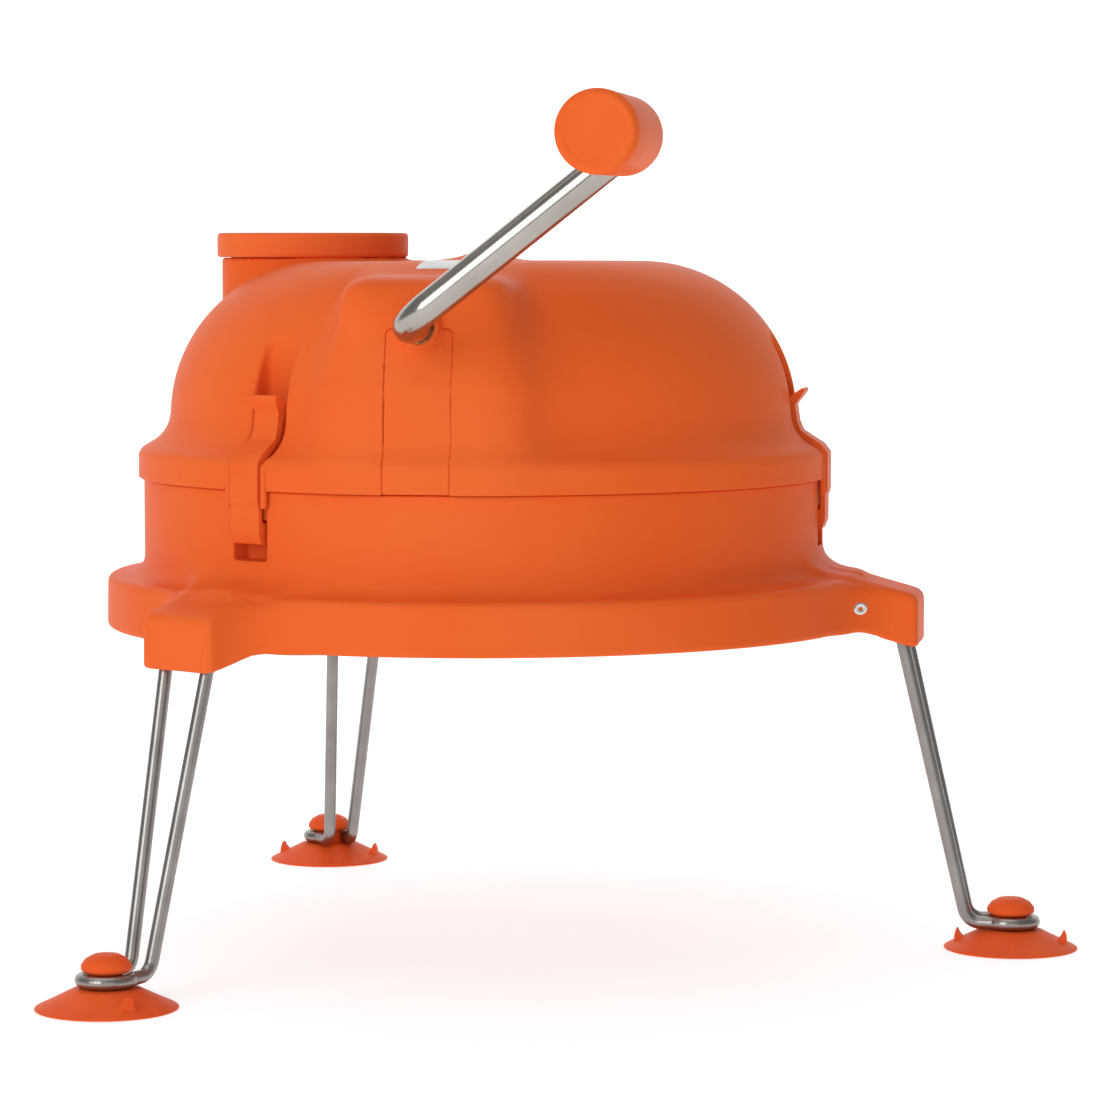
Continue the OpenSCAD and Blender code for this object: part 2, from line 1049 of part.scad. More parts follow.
module latch() {
    placed()
        color(orange)
            children();
}

module latch_lever() {
    difference() {
        side_plate(latch_w)
            latch_side();
        translate([latch_pin[0], 4.2, latch_pin[1]])
            rotate([90, 0, 0])
                cylinder(h = 8.4, r = coil_room);
        translate([latch_pin[0] - 6, -4.2, latch_pin[1] - coil_room])
            cube([6, 8.4, 2 * coil_room]);
    }
}

module latch_right() {
    latch()
        at(right)
            latch_lever();
}

module latch_rear() {
    latch()
        at(rear)
            latch_lever();
}

module latch_left() {
    latch()
        at(left)
            latch_lever();
}

module latch_pin_at(angle) {
    placed()
        color(steel)
            at(angle)
                translate([latch_pin[0], lug_gap / 2 + lug_t, latch_pin[1]])
                    rotate([90, 0, 0])
                        cylinder(h = lug_gap + 2 * lug_t, r = latch_pin_r);
}

module latch_pin_right() latch_pin_at(right);
module latch_pin_rear() latch_pin_at(rear);
module latch_pin_left() latch_pin_at(left);

// Coil of the latch's torsion spring, turn beside turn round the pin.
module latch_spring_at(angle) {
    placed()
        color(steel)
            at(angle)
                translate([latch_pin[0], 0, latch_pin[1]])
                    rotate([90, 0, 0])
                        rotate_extrude()
                            difference() {
                                for (k = [-4 : 4])
                                    translate([coil_r, k * 0.75])
                                        circle(coil_wire_r, $fn = 24);
                                translate([0, -10])
                                    square([latch_pin_r + 0.3, 20]);
                            }
}

module latch_spring_right() latch_spring_at(right);
module latch_spring_rear() latch_spring_at(rear);
module latch_spring_left() latch_spring_at(left);

// ---- legs ----

// A straight length of wire between two points, with a ball at each bend.
ball_r = wire_r + 0.06;
module wire_between(p, q) {
    d = q - p;
    len = norm(d);
    translate(p)
        rotate([0, acos(d[2] / len), atan2(d[1], d[0])])
            cylinder(h = len, r = wire_r);
    translate(q)
        sphere(ball_r);
}

module leg_wire_at(angle) {
    half_loop = asin(ankle_gap / 2 / loop_r);
    loop_in = foot_r - loop_r * cos(half_loop);
    placed()
        color(steel)
            at(angle)
                difference() {
                    union() {
                        for (s = [-1, 1]) {
                            knee_p = [knee[0], s * wire_gap / 2, knee[1]];
                            ankle_p = [ankle[0], s * ankle_gap / 2, ankle[1]];
                            wire_between([pin_r + 5, s * wire_gap / 2, pin_z - 1.6], knee_p);
                            wire_between(knee_p, ankle_p);
                            wire_between(ankle_p, [loop_in, s * ankle_gap / 2, loop_z]);
                            translate([pin_r, s * wire_gap / 2 + 2.6, pin_z])
                                rotate([90, 0, 0])
                                    cylinder(h = 5.2, r = eye_r);
                        }
                        translate([foot_r, 0, loop_z])
                            rotate([0, 0, 180 + half_loop])
                                rotate_extrude(angle = 360 - 2 * half_loop)
                                    translate([loop_r, 0])
                                        circle(wire_r);
                    }
                    translate([pin_r, 40, pin_z])
                        rotate([90, 0, 0])
                            cylinder(h = 80, r = wire_r + running);
                }
}

module leg_wire_right() leg_wire_at(right);
module leg_wire_rear() leg_wire_at(rear);
module leg_wire_left() leg_wire_at(left);

// Pin across the arm, with a low rounded head outside each wall.
module leg_pin_at(angle) {
    placed()
        color(steel)
            at(angle)
                difference() {
                    translate([pin_r, pin_blind - running, pin_z])
                        rotate([90, 0, 0])
                            cylinder(h = pin_blind + corner_y, r = wire_r);
                    translate([corner_x, -corner_y, pin_z - 5])
                        cylinder(h = 10, r = arm_fillet - pin_proud);
                }
}

module leg_pin_right() leg_pin_at(right);
module leg_pin_rear() leg_pin_at(rear);
module leg_pin_left() leg_pin_at(left);

module cup_section() {
    polygon([
        [0, 6.5],
        [10, 5.5],
        [cup_r - 2.4, 0],
        [cup_r, 0],
        [cup_r, 0.6],
        [cup_r - 0.8, 1.2],
        [14.5, 9.1],
        [7.2, 9.1],
        [7.2, 15.9],
        [9.6, 15.9],
        [11, 17.3],
        [11, 18.4],
        [9.4, 21.2],
        [6, 23.2],
        [0, 24]
    ]);
}

module suction_cup_at(angle, tab_turn) {
    placed()
        color(orange)
            at(angle)
                translate([foot_r, 0, 0])
                    rotate([0, 0, tab_turn]) {
                        rotate_extrude()
                            cup_section();
                        for (a = [0, 180])
                            rotate([0, 0, a])
                                side_plate(4.5)
                                    polygon([
                                        [cup_r - 9.2, 3.6],
                                        [cup_r - 4.8, 1.8],
                                        [cup_r - 5.2, 8.4],
                                        [cup_r - 6, 8.6]
                                    ]);
                    }
}

module suction_cup_right() suction_cup_at(right, 0);
module suction_cup_rear() suction_cup_at(rear, 60);
module suction_cup_left() suction_cup_at(left, 30);

base_housing();
spindle_spider();
spider_screws();
spindle_bush();
cover_shell();
name_plate();
crank_bracket();
bracket_screws();
front_bush();
rear_bush();
crank_tube();
shaft_ring();
drive_pinion();
pinion_pin();
crown_gear();
spindle();
thrust_washer();
disc_hub();
grating_disc();
disc_rivets();
spindle_nut();
pusher_body();
pusher_cap();
knob_grip();
knob_retainer();
knob_cap();
latch_right();
latch_rear();
latch_left();
latch_pin_right();
latch_pin_rear();
latch_pin_left();
latch_spring_right();
latch_spring_rear();
latch_spring_left();
leg_wire_right();
leg_wire_rear();
leg_wire_left();
leg_pin_right();
leg_pin_rear();
leg_pin_left();
suction_cup_right();
suction_cup_rear();
suction_cup_left();
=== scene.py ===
"""Rotary cheese grater: domed orange housing, feed tube, bent crank and three folding wire legs.

Sizes are in millimetres about the main axis of the housing, heights from the table, and
Place turns them into the metres of the shared frame.
"""
import json
import logging
import math
from dataclasses import dataclass, field
from enum import Enum
from typing import Callable, Iterable, Optional, Sequence

import bmesh
import bpy
import numpy as np
from mathutils import Matrix, Vector


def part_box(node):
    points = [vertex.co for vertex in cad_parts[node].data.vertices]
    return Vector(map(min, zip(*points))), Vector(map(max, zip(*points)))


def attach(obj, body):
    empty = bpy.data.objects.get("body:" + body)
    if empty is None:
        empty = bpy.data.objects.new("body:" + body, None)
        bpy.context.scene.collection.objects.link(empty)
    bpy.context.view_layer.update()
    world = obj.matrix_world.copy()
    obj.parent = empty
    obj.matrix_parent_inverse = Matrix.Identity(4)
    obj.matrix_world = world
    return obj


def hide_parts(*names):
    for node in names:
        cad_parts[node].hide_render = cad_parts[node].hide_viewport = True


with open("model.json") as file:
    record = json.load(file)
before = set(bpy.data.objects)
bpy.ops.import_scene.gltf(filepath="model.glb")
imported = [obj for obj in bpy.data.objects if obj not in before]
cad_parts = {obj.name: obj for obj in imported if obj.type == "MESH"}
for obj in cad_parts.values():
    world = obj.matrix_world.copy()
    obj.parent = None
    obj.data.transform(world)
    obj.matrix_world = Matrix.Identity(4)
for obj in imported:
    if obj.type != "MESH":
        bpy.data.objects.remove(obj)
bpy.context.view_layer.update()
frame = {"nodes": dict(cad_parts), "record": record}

LOG = logging.getLogger("grater")
MM = 0.001
HALVINGS = 30
ON_AXIS = 1e-6
FRONT = 270
SPIDER_ANGLES = (60, 180, 300)
Field = Callable[[np.ndarray, np.ndarray, np.ndarray], np.ndarray]


class Station(Enum):
    """The three places round the housing that carry a leg and a latch, by angle in degrees."""

    RIGHT = 0
    REAR = 120
    LEFT = 240

    @property
    def word(self) -> str:
        """The station's name as the parts use it."""
        return self.name.lower()




@dataclass(frozen=True)
class Place:
    """Where the main axis stands in the shared frame.

    Args:
        x: the axis, in metres along X.
        y: the axis, in metres along Y.
        floor: height of the table, in metres.
    """

    x: float
    y: float
    floor: float

    @classmethod
    def from_frame(cls) -> "Place":
        """Reads the main axis from the spindle's own box.

        Returns:
            The place of the axis.
        """
        low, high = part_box("spindle")
        foot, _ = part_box("suction_cup_right")
        return cls((low[0] + high[0]) / 2, (low[1] + high[1]) / 2, foot[2])

    def world(self, points: np.ndarray) -> np.ndarray:
        """Turns millimetres about the axis into metres in the frame."""
        return np.asarray(points, dtype=float) * MM + np.array([self.x, self.y, self.floor])

    def vector(self, x: float, y: float, z: float) -> Vector:
        """The same for one point."""
        return Vector(self.world(np.array([x, y, z])))


# ---------------------------------------------------------------------------
# Shapes from distance fields
# ---------------------------------------------------------------------------


def soft_min(a: np.ndarray, b: np.ndarray, k: float | np.ndarray) -> np.ndarray:
    """Joins two distances with a hollow blend.

    Args:
        a: first distance.
        b: second distance.
        k: reach of the blend, in millimetres.

    Returns:
        The joined distance.
    """
    h = np.clip(0.5 + 0.5 * (b - a) / k, 0.0, 1.0)
    return b * (1.0 - h) + a * h - k * h * (1.0 - h)


def soft_max(a: np.ndarray, b: np.ndarray, k: float | np.ndarray) -> np.ndarray:
    """Crosses two distances with a rounded edge."""
    return -soft_min(-a, -b, k)


def round_box(u: np.ndarray, v: np.ndarray, half: tuple[float, float], corner: float) -> np.ndarray:
    """Distance to a rectangle with round corners, centred on zero.

    Args:
        u: first coordinate.
        v: second coordinate.
        half: half sizes along u and v.
        corner: radius of the corners.

    Returns:
        The distance, negative inside.
    """
    qu = np.abs(u) - half[0] + corner
    qv = np.abs(v) - half[1] + corner
    outside = np.hypot(np.maximum(qu, 0.0), np.maximum(qv, 0.0))
    return outside + np.minimum(np.maximum(qu, qv), 0.0) - corner


def heading(angle: float) -> tuple[float, float]:
    """Cosine and sine of an angle in degrees."""
    return math.cos(math.radians(angle)), math.sin(math.radians(angle))


def turned(x: np.ndarray, y: np.ndarray, angle: float) -> tuple[np.ndarray, np.ndarray]:
    """Coordinates along and across the direction at an angle in degrees."""
    c, s = heading(angle)
    return x * c + y * s, -x * s + y * c


def spaced(*stretches: tuple[float, float, float]) -> np.ndarray:
    """Joins stretches of evenly spaced values, each (start, end, step), into one rising list."""
    return np.concatenate([np.arange(a, b - step * 0.3, step) for a, b, step in stretches])


def angles_with_detail(coarse: float, zones: Sequence[tuple[float, float, float]]) -> np.ndarray:
    """Angles once round, closer together near the places that carry detail.

    Args:
        coarse: step in degrees away from any detail.
        zones: (middle angle, half width, step) of each place.

    Returns:
        The angles in degrees, rising from 0 to below 360.
    """
    out, at = [], 0.0
    while at < 360.0 - 1e-6:
        out.append(at)
        step = coarse
        for middle, half, fine in zones:
            away = abs((at - middle + 180.0) % 360.0 - 180.0)
            if away < half + coarse:
                step = min(step, fine)
        at += step
    return np.array(out)


def halved(inside: Callable[[np.ndarray], np.ndarray], low: float, high: float,
           count: int) -> np.ndarray:
    """Finds where each of many places leaves a solid, by halving.

    Args:
        inside: tells which of the tried values are inside.
        low: a value inside the solid at every place.
        high: a value outside it at every place.
        count: how many places there are.

    Returns:
        The last value inside, for each place.
    """
    lows, highs = np.full(count, low), np.full(count, high)
    for _ in range(HALVINGS):
        middle = (lows + highs) / 2
        held = inside(middle)
        lows, highs = np.where(held, middle, lows), np.where(held, highs, middle)
    return lows


def neighbours(axis: int) -> tuple[tuple[slice, ...], tuple[slice, ...], list[int]]:
    """Picks neighbouring nodes of a grid along one axis.

    Args:
        axis: 0, 1 or 2.

    Returns:
        Slices of the nearer and of the farther nodes, and the two other axes.
    """
    near, far = [slice(None)] * 3, [slice(None)] * 3
    near[axis], far[axis] = slice(0, -1), slice(1, None)
    return tuple(near), tuple(far), [k for k in range(3) if k != axis]


@dataclass
class CylinderGrid:
    """A grid of radius, height and angle, on which a distance field is turned into a mesh.

    Args:
        r: rising radii.
        z: rising heights.
        phi: rising angles in degrees.
        wraps: whether the angles go all the way round.
    """

    r: np.ndarray
    z: np.ndarray
    phi: np.ndarray
    wraps: bool = True

    def points(self, ri: np.ndarray, zi: np.ndarray, pi: np.ndarray) -> np.ndarray:
        """Places on the grid, given as fractional positions, in millimetres.

        Args:
            ri: positions among the radii.
            zi: positions among the heights.
            pi: positions among the angles.

        Returns:
            The places, one a row.
        """
        turn = np.append(self.phi, self.phi[0] + 360.0) if self.wraps else self.phi
        r = np.interp(ri, np.arange(len(self.r)), self.r)
        z = np.interp(zi, np.arange(len(self.z)), self.z)
        p = np.radians(np.interp(pi, np.arange(len(turn)), turn))
        return np.stack([r * np.cos(p), r * np.sin(p), z], axis=1)

    def sample(self, shape: Field) -> np.ndarray:
        """The field's value at each node of the grid.

        Args:
            shape: the distance field.

        Returns:
            Its values by radius, height and angle.
        """
        p = np.radians(self.phi)
        out = np.empty((len(self.r), len(self.z), len(self.phi)), dtype=np.float32)
        z = self.z[:, None].astype(np.float32)
        for i, r in enumerate(self.r):
            x = (r * np.cos(p))[None, :].astype(np.float32)
            y = (r * np.sin(p))[None, :].astype(np.float32)
            out[i] = shape(x + 0 * z, y + 0 * z, z + 0 * x)
        return out

    def mesh(self, shape: Field) -> tuple[np.ndarray, np.ndarray]:
        """Skins the field at zero with one vertex in each crossed cell.

        Args:
            shape: the distance field.

        Returns:
            Vertices in millimetres, and faces of four vertex numbers.
        """
        f = self.sample(shape)
        if self.wraps:
            f = np.concatenate([f, f[:, :, :1]], axis=2)
        cells = tuple(n - 1 for n in f.shape)
        total = np.zeros(cells + (3,), dtype=np.float32)
        count = np.zeros(cells, dtype=np.float32)
        inside = f < 0
        for axis in range(3):
            near, far, others = neighbours(axis)
            crossed = inside[near] != inside[far]
            t = np.where(crossed, f[near] / np.where(crossed, f[near] - f[far], 1.0), 0.0)
            for du in (0, 1):
                for dv in (0, 1):
                    pick = [slice(None)] * 3
                    pick[others[0]] = slice(du, cells[others[0]] + du)
                    pick[others[1]] = slice(dv, cells[others[1]] + dv)
                    hit = crossed[tuple(pick)]
                    count += hit
                    total[..., axis] += np.where(hit, t[tuple(pick)], 0.0)
                    total[..., others[0]] += hit * du
                    total[..., others[1]] += hit * dv
        used = count > 0
        number = np.full(cells, -1, dtype=np.int64)
        number[used] = np.arange(int(used.sum()))
        where = np.argwhere(used) + total[used] / count[used][:, None]
        verts = self.points(where[:, 0], where[:, 1], where[:, 2])
        return verts, self._faces(inside, number)

    def _faces(self, inside: np.ndarray, number: np.ndarray) -> np.ndarray:
        """Joins the four cells round each crossed edge of the grid.

        Args:
            inside: which nodes are inside the solid.
            number: each cell's vertex, or -1.

        Returns:
            Faces of four vertex numbers.
        """
        faces = []
        last = number.shape[2]
        for axis in range(3):
            near, far, others = neighbours(axis)
            starts = inside[near]
            crossed = starts != inside[far]
            at = np.argwhere(crossed)
            sign = starts[crossed]
            corner = []
            good = np.ones(len(at), dtype=bool)
            for du, dv in ((1, 1), (0, 1), (0, 0), (1, 0)):
                c = at.copy()
                c[:, others[0]] -= du
                c[:, others[1]] -= dv
                if self.wraps:
                    good &= at[:, 2] < last
                    c[:, 2] %= last
                for k in range(3):
                    good &= (c[:, k] >= 0) & (c[:, k] < number.shape[k])
                corner.append(np.clip(c, 0, np.array(number.shape) - 1))
            quad = np.stack([number[tuple(c.T)] for c in corner], axis=1)[good]
            flip = sign[good] ^ (axis == 1)
            quad[~flip] = quad[~flip][:, ::-1]
            faces.append(quad[(quad >= 0).all(axis=1)])
        return np.concatenate(faces)


def slope_of(shape: Field, p: np.ndarray) -> np.ndarray:
    """The field's slope at each point, by small steps.

    Args:
        shape: the distance field.
        p: points in millimetres, one a row.

    Returns:
        The slope at each point.
    """
    step = 0.05
    out = np.empty_like(p)
    for k in range(3):
        up, down = p.copy(), p.copy()
        up[:, k] += step
        down[:, k] -= step
        out[:, k] = (shape(*up.T) - shape(*down.T)) / (2 * step)
    return out


def settle(shape: Field, p: np.ndarray, rounds: int = 4) -> np.ndarray:
    """Moves points onto the field's zero, at most a millimetre a round.

    Args:
        shape: the distance field.
        p: points in millimetres.
        rounds: how many times to step.

    Returns:
        The moved points.
    """
    for _ in range(rounds):
        g = slope_of(shape, p)
        size = np.maximum((g * g).sum(axis=1), 1e-4)
        move = g * (shape(*p.T) / size)[:, None]
        far = np.maximum(np.linalg.norm(move, axis=1), 1.0)
        p = p - move / far[:, None]
    return p


# ---------------------------------------------------------------------------
# Meshes
# ---------------------------------------------------------------------------


def link(name: str, mesh: bpy.types.Mesh) -> bpy.types.Object:
    """Puts a mesh in the scene as an object with smooth faces.

    Args:
        name: the piece's name.
        mesh: its mesh.

    Returns:
        The object.
    """
    obj = bpy.data.objects.new(name, mesh)
    bpy.context.scene.collection.objects.link(obj)
    mesh.shade_smooth()
    return obj


def mesh_object(name: str, verts: np.ndarray, faces: Iterable[Sequence[int]]) -> bpy.types.Object:
    """Makes an object from vertices in metres and faces.

    Args:
        name: the piece's name.
        verts: vertices in metres.
        faces: vertex numbers of each face.

    Returns:
        The object.
    """
    mesh = bpy.data.meshes.new(name)
    mesh.from_pydata([tuple(v) for v in verts], [], [tuple(int(i) for i in f) for f in faces])
    mesh.validate()
    mesh.update()
    return link(name, mesh)


def field_object(name: str, shape: Field, grid: CylinderGrid, place: Place) -> bpy.types.Object:
    """Makes a smooth object from a distance field.

    Args:
        name: the piece's name.
        shape: the distance field.
        grid: the grid to skin it on.
        place: where the axis stands.

    Returns:
        The object, with normals taken from the field.
    """
    verts, faces = grid.mesh(shape)
    verts = settle(shape, verts)
    obj = mesh_object(name, place.world(verts), faces)
    bm = bmesh.new()
    bm.from_mesh(obj.data)
    open_edges = [e for e in bm.edges if e.is_boundary]
    bmesh.ops.holes_fill(bm, edges=open_edges, sides=0)
    bmesh.ops.remove_doubles(bm, verts=bm.verts, dist=2e-6)
    loose = [v for v in bm.verts if not v.link_faces]
    bmesh.ops.delete(bm, geom=loose, context="VERTS")
    bmesh.ops.recalc_face_normals(bm, faces=bm.faces)
    bm.to_mesh(obj.data)
    bm.free()
    count = len(obj.data.vertices)
    at = np.empty(count * 3)
    obj.data.vertices.foreach_get("co", at)
    local = (at.reshape(-1, 3) - place.world(np.zeros(3))) / MM
    slope = slope_of(shape, local)
    slope /= np.maximum(np.linalg.norm(slope, axis=1), 1e-6)[:, None]
    obj.data.shade_smooth()
    obj.data.normals_split_custom_set_from_vertices(slope.tolist())
    return obj


def rounded(points: Sequence[Sequence[float]], radius: float | Sequence[float],
            closed: bool = False, steps: int = 6) -> list[Vector]:
    """Rounds the corners of a path.

    Args:
        points: the corners.
        radius: one radius for all corners, or one for each.
        closed: whether the last corner leads back to the first.
        steps: pieces in each round corner.

    Returns:
        The points of the rounded path.
    """
    pts = [Vector(tuple(p) + (0.0,) * (3 - len(p))) for p in points]
    radii = [radius] * len(pts) if isinstance(radius, (int, float)) else list(radius)
    out: list[Vector] = []
    for i, p in enumerate(pts):
        ends = not closed and i in (0, len(pts) - 1)
        if ends or radii[i] <= 0:
            out.append(p)
            continue
        a, b = pts[i - 1], pts[(i + 1) % len(pts)]
        u, v = (a - p), (b - p)
        angle = u.angle(v)
        if angle > math.pi - 0.01:
            out.append(p)
            continue
        reach = min(radii[i] / math.tan(angle / 2), 0.49 * u.length, 0.49 * v.length)
        r = reach * math.tan(angle / 2)
        u, v = u.normalized(), v.normalized()
        middle = p + (u + v).normalized() * (r / math.sin(angle / 2))
        start, end = p + u * reach - middle, p + v * reach - middle
        for k in range(steps + 1):
            t = k / steps
            sweep = math.pi - angle
            w = (math.sin((1 - t) * sweep) * start + math.sin(t * sweep) * end) / math.sin(sweep)
            out.append(middle + w)
    return out


def lathe_mesh(profile: Sequence[Vector], sides: int) -> tuple[np.ndarray, list[tuple[int, ...]]]:
    """Turns a profile of (radius, height) about Z into vertices and faces.

    Args:
        profile: the outline, closed when its last point leads back to the first.
        sides: pieces round the axis.

    Returns:
        Vertices in the profile's own units, and faces.
    """
    turns = np.linspace(0.0, 2 * math.pi, sides, endpoint=False)
    verts: list[tuple[float, float, float]] = []
    rows: list[list[int]] = []
    for p in profile:
        if p[0] < ON_AXIS:
            rows.append([len(verts)] * sides)
            verts.append((0.0, 0.0, p[1]))
            continue
        rows.append(list(range(len(verts), len(verts) + sides)))
        verts += [(p[0] * math.cos(t), p[0] * math.sin(t), p[1]) for t in turns]
    on_axis = profile[0][0] < ON_AXIS and profile[-1][0] < ON_AXIS
    faces = []
    count = len(rows) - 1 if on_axis else len(rows)
    for i in range(count):
        a, b = rows[i], rows[(i + 1) % len(rows)]
        for k in range(sides):
            n = (k + 1) % sides
            face = tuple(dict.fromkeys((a[k], a[n], b[n], b[k])))
            if len(face) > 2:
                faces.append(face)
    return np.array(verts), faces


def lathe(name: str, profile: Sequence[Sequence[float]], centre: np.ndarray, place: Place,
          soft: float = 0.8, sides: int = 96, along: Sequence[float] = (0, 0, 1),
          ) -> bpy.types.Object:
    """Makes a turned piece.

    Args:
        name: the piece's name.
        profile: closed outline of (radius, height) in millimetres.
        centre: where height zero is, about the main axis.
        place: where the axis stands.
        soft: radius of the profile's corners.
        sides: pieces round the axis.
        along: direction of rising height.

    Returns:
        The object.
    """
    on_axis = profile[0][0] == 0 and profile[-1][0] == 0
    verts, faces = lathe_mesh(rounded(profile, soft, closed=not on_axis, steps=4), sides)
    turn = Vector((0, 0, 1)).rotation_difference(Vector(along)).to_matrix()
    verts = verts @ np.array(turn).T + np.asarray(centre, dtype=float)
    obj = mesh_object(name, place.world(verts), faces)
    tidy_normals(obj)
    return obj


def tidy_normals(obj: bpy.types.Object, angle: float = 35.0) -> None:
    """Points all faces outward and keeps real edges crisp.

    Args:
        obj: the piece.
        angle: the least bend that stays a crisp edge, in degrees.
    """
    bm = bmesh.new()
    bm.from_mesh(obj.data)
    bmesh.ops.recalc_face_normals(bm, faces=bm.faces)
    for edge in bm.edges:
        edge.smooth = len(edge.link_faces) != 2 or edge.calc_face_angle(0.0) < math.radians(angle)
    bm.to_mesh(obj.data)
    bm.free()


def sweep(name: str, path: Sequence[Vector], radius: float, place: Place, sides: int = 24,
          shape: Optional[Callable[[float, float, Vector], float]] = None,
          ) -> bpy.types.Object:
    """Draws a round bar or tube along a path, with softly closed ends.

    Args:
        name: the piece's name.
        path: points in millimetres about the main axis.
        radius: radius of the bar.
        place: where the axis stands.
        sides: pieces round the bar.
        shape: gives the radius from (distance along, angle round, outward direction).

    Returns:
        The object.
    """
    pts = [p for i, p in enumerate(path) if i == 0 or (p - path[i - 1]).length > 1e-4]
    tangents = []
    for i in range(len(pts)):
        before, after = pts[max(i - 1, 0)], pts[min(i + 1, len(pts) - 1)]
        tangents.append((after - before).normalized())
    side = tangents[0].orthogonal().normalized()
    verts: list[Vector] = []
    rows = []
    along = 0.0
    ends = ((-0.22, 0.72), (0.0, 1.0))
    for i, (p, t) in enumerate(zip(pts, tangents)):
        if i:
            along += (p - pts[i - 1]).length
            side = (tangents[i - 1].rotation_difference(t) @ side).normalized()
        up = t.cross(side).normalized()
        cuts = [(0.0, 1.0)]
        if i == 0:
            cuts = list(ends)
        if i == len(pts) - 1:
            cuts = [(-d, s) for d, s in reversed(ends)]
        for shift, share in cuts:
            rows.append(range(len(verts), len(verts) + sides))
            for k in range(sides):
                a = 2 * math.pi * k / sides
                out = math.cos(a) * side + math.sin(a) * up
                r = radius if shape is None else shape(along, a, out)
                verts.append(p + out * r * share + t * shift * radius)
    faces = [tuple(reversed(rows[0])), tuple(rows[-1])]
    for a, b in zip(rows, rows[1:]):
        faces += [(a[k], a[(k + 1) % sides], b[(k + 1) % sides], b[k]) for k in range(sides)]
    obj = mesh_object(name, place.world(np.array([tuple(v) for v in verts])), faces)
    tidy_normals(obj, 50.0)
    return obj


def side_plate(outline: Sequence[Vector], widths: Callable[[float, float], float], angle: float,
               centre: Sequence[float] = (0.0, 0.0)) -> tuple[np.ndarray, list[tuple[int, ...]]]:
    """Thickens a side view that stands along a direction.

    Args:
        outline: closed side view of (distance from the centre, height).
        widths: half width at a place of the outline.
        angle: the direction, in degrees.
        centre: where the distance is zero, about the main axis.

    Returns:
        Vertices in millimetres, and faces.
    """
    c, s = heading(angle)
    verts = []
    for side in (-1, 1):
        for p in outline:
            v = side * widths(p[0], p[1])
            verts.append((centre[0] + p[0] * c - v * s, centre[1] + p[0] * s + v * c, p[1]))
    n = len(outline)
    faces = [tuple(range(n)), tuple(reversed(range(n, 2 * n)))]
    faces += [(k, (k + 1) % n, n + (k + 1) % n, n + k) for k in range(n)]
    return np.array(verts), faces


def slab(name: str, outline: Sequence[Vector], widths: Callable[[float, float], float],
         angle: float, place: Place, edge: float) -> bpy.types.Object:
    """Makes a plate from a side view, standing along a direction round the axis.

    Args:
        name: the piece's name.
        outline: closed side view of (distance from axis, height).
        widths: half width at a place of the outline.
        angle: direction round the axis, in degrees.
        place: where the axis stands.
        edge: width of the rounded edges.

    Returns:
        The object, with its edges rounded.
    """
    verts, faces = side_plate(outline, widths, angle)
    obj = mesh_object(name, place.world(verts), faces)
    tidy_normals(obj, 30.0)
    bevel = obj.modifiers.new("edges", "BEVEL")
    bevel.width = edge * MM
    bevel.segments = 3
    bevel.limit_method = "ANGLE"
    bevel.angle_limit = math.radians(50)
    bevel.harden_normals = True
    return obj


def join(name: str, parts: Sequence[bpy.types.Object]) -> bpy.types.Object:
    """Joins several meshes that belong to one piece.

    Args:
        name: the piece's name.
        parts: the meshes, which are used up.

    Returns:
        The joined piece.
    """
    bm = bmesh.new()
    for part in parts:
        bm.from_mesh(part.data)
    mesh = bpy.data.meshes.new(name)
    bm.to_mesh(mesh)
    bm.free()
    for part in parts:
        old = part.data
        bpy.data.objects.remove(part)
        bpy.data.meshes.remove(old)
    obj = link(name, mesh)
    tidy_normals(obj)
    return obj


# ---------------------------------------------------------------------------
# Finishes
# ---------------------------------------------------------------------------

Colour = tuple[float, float, float]


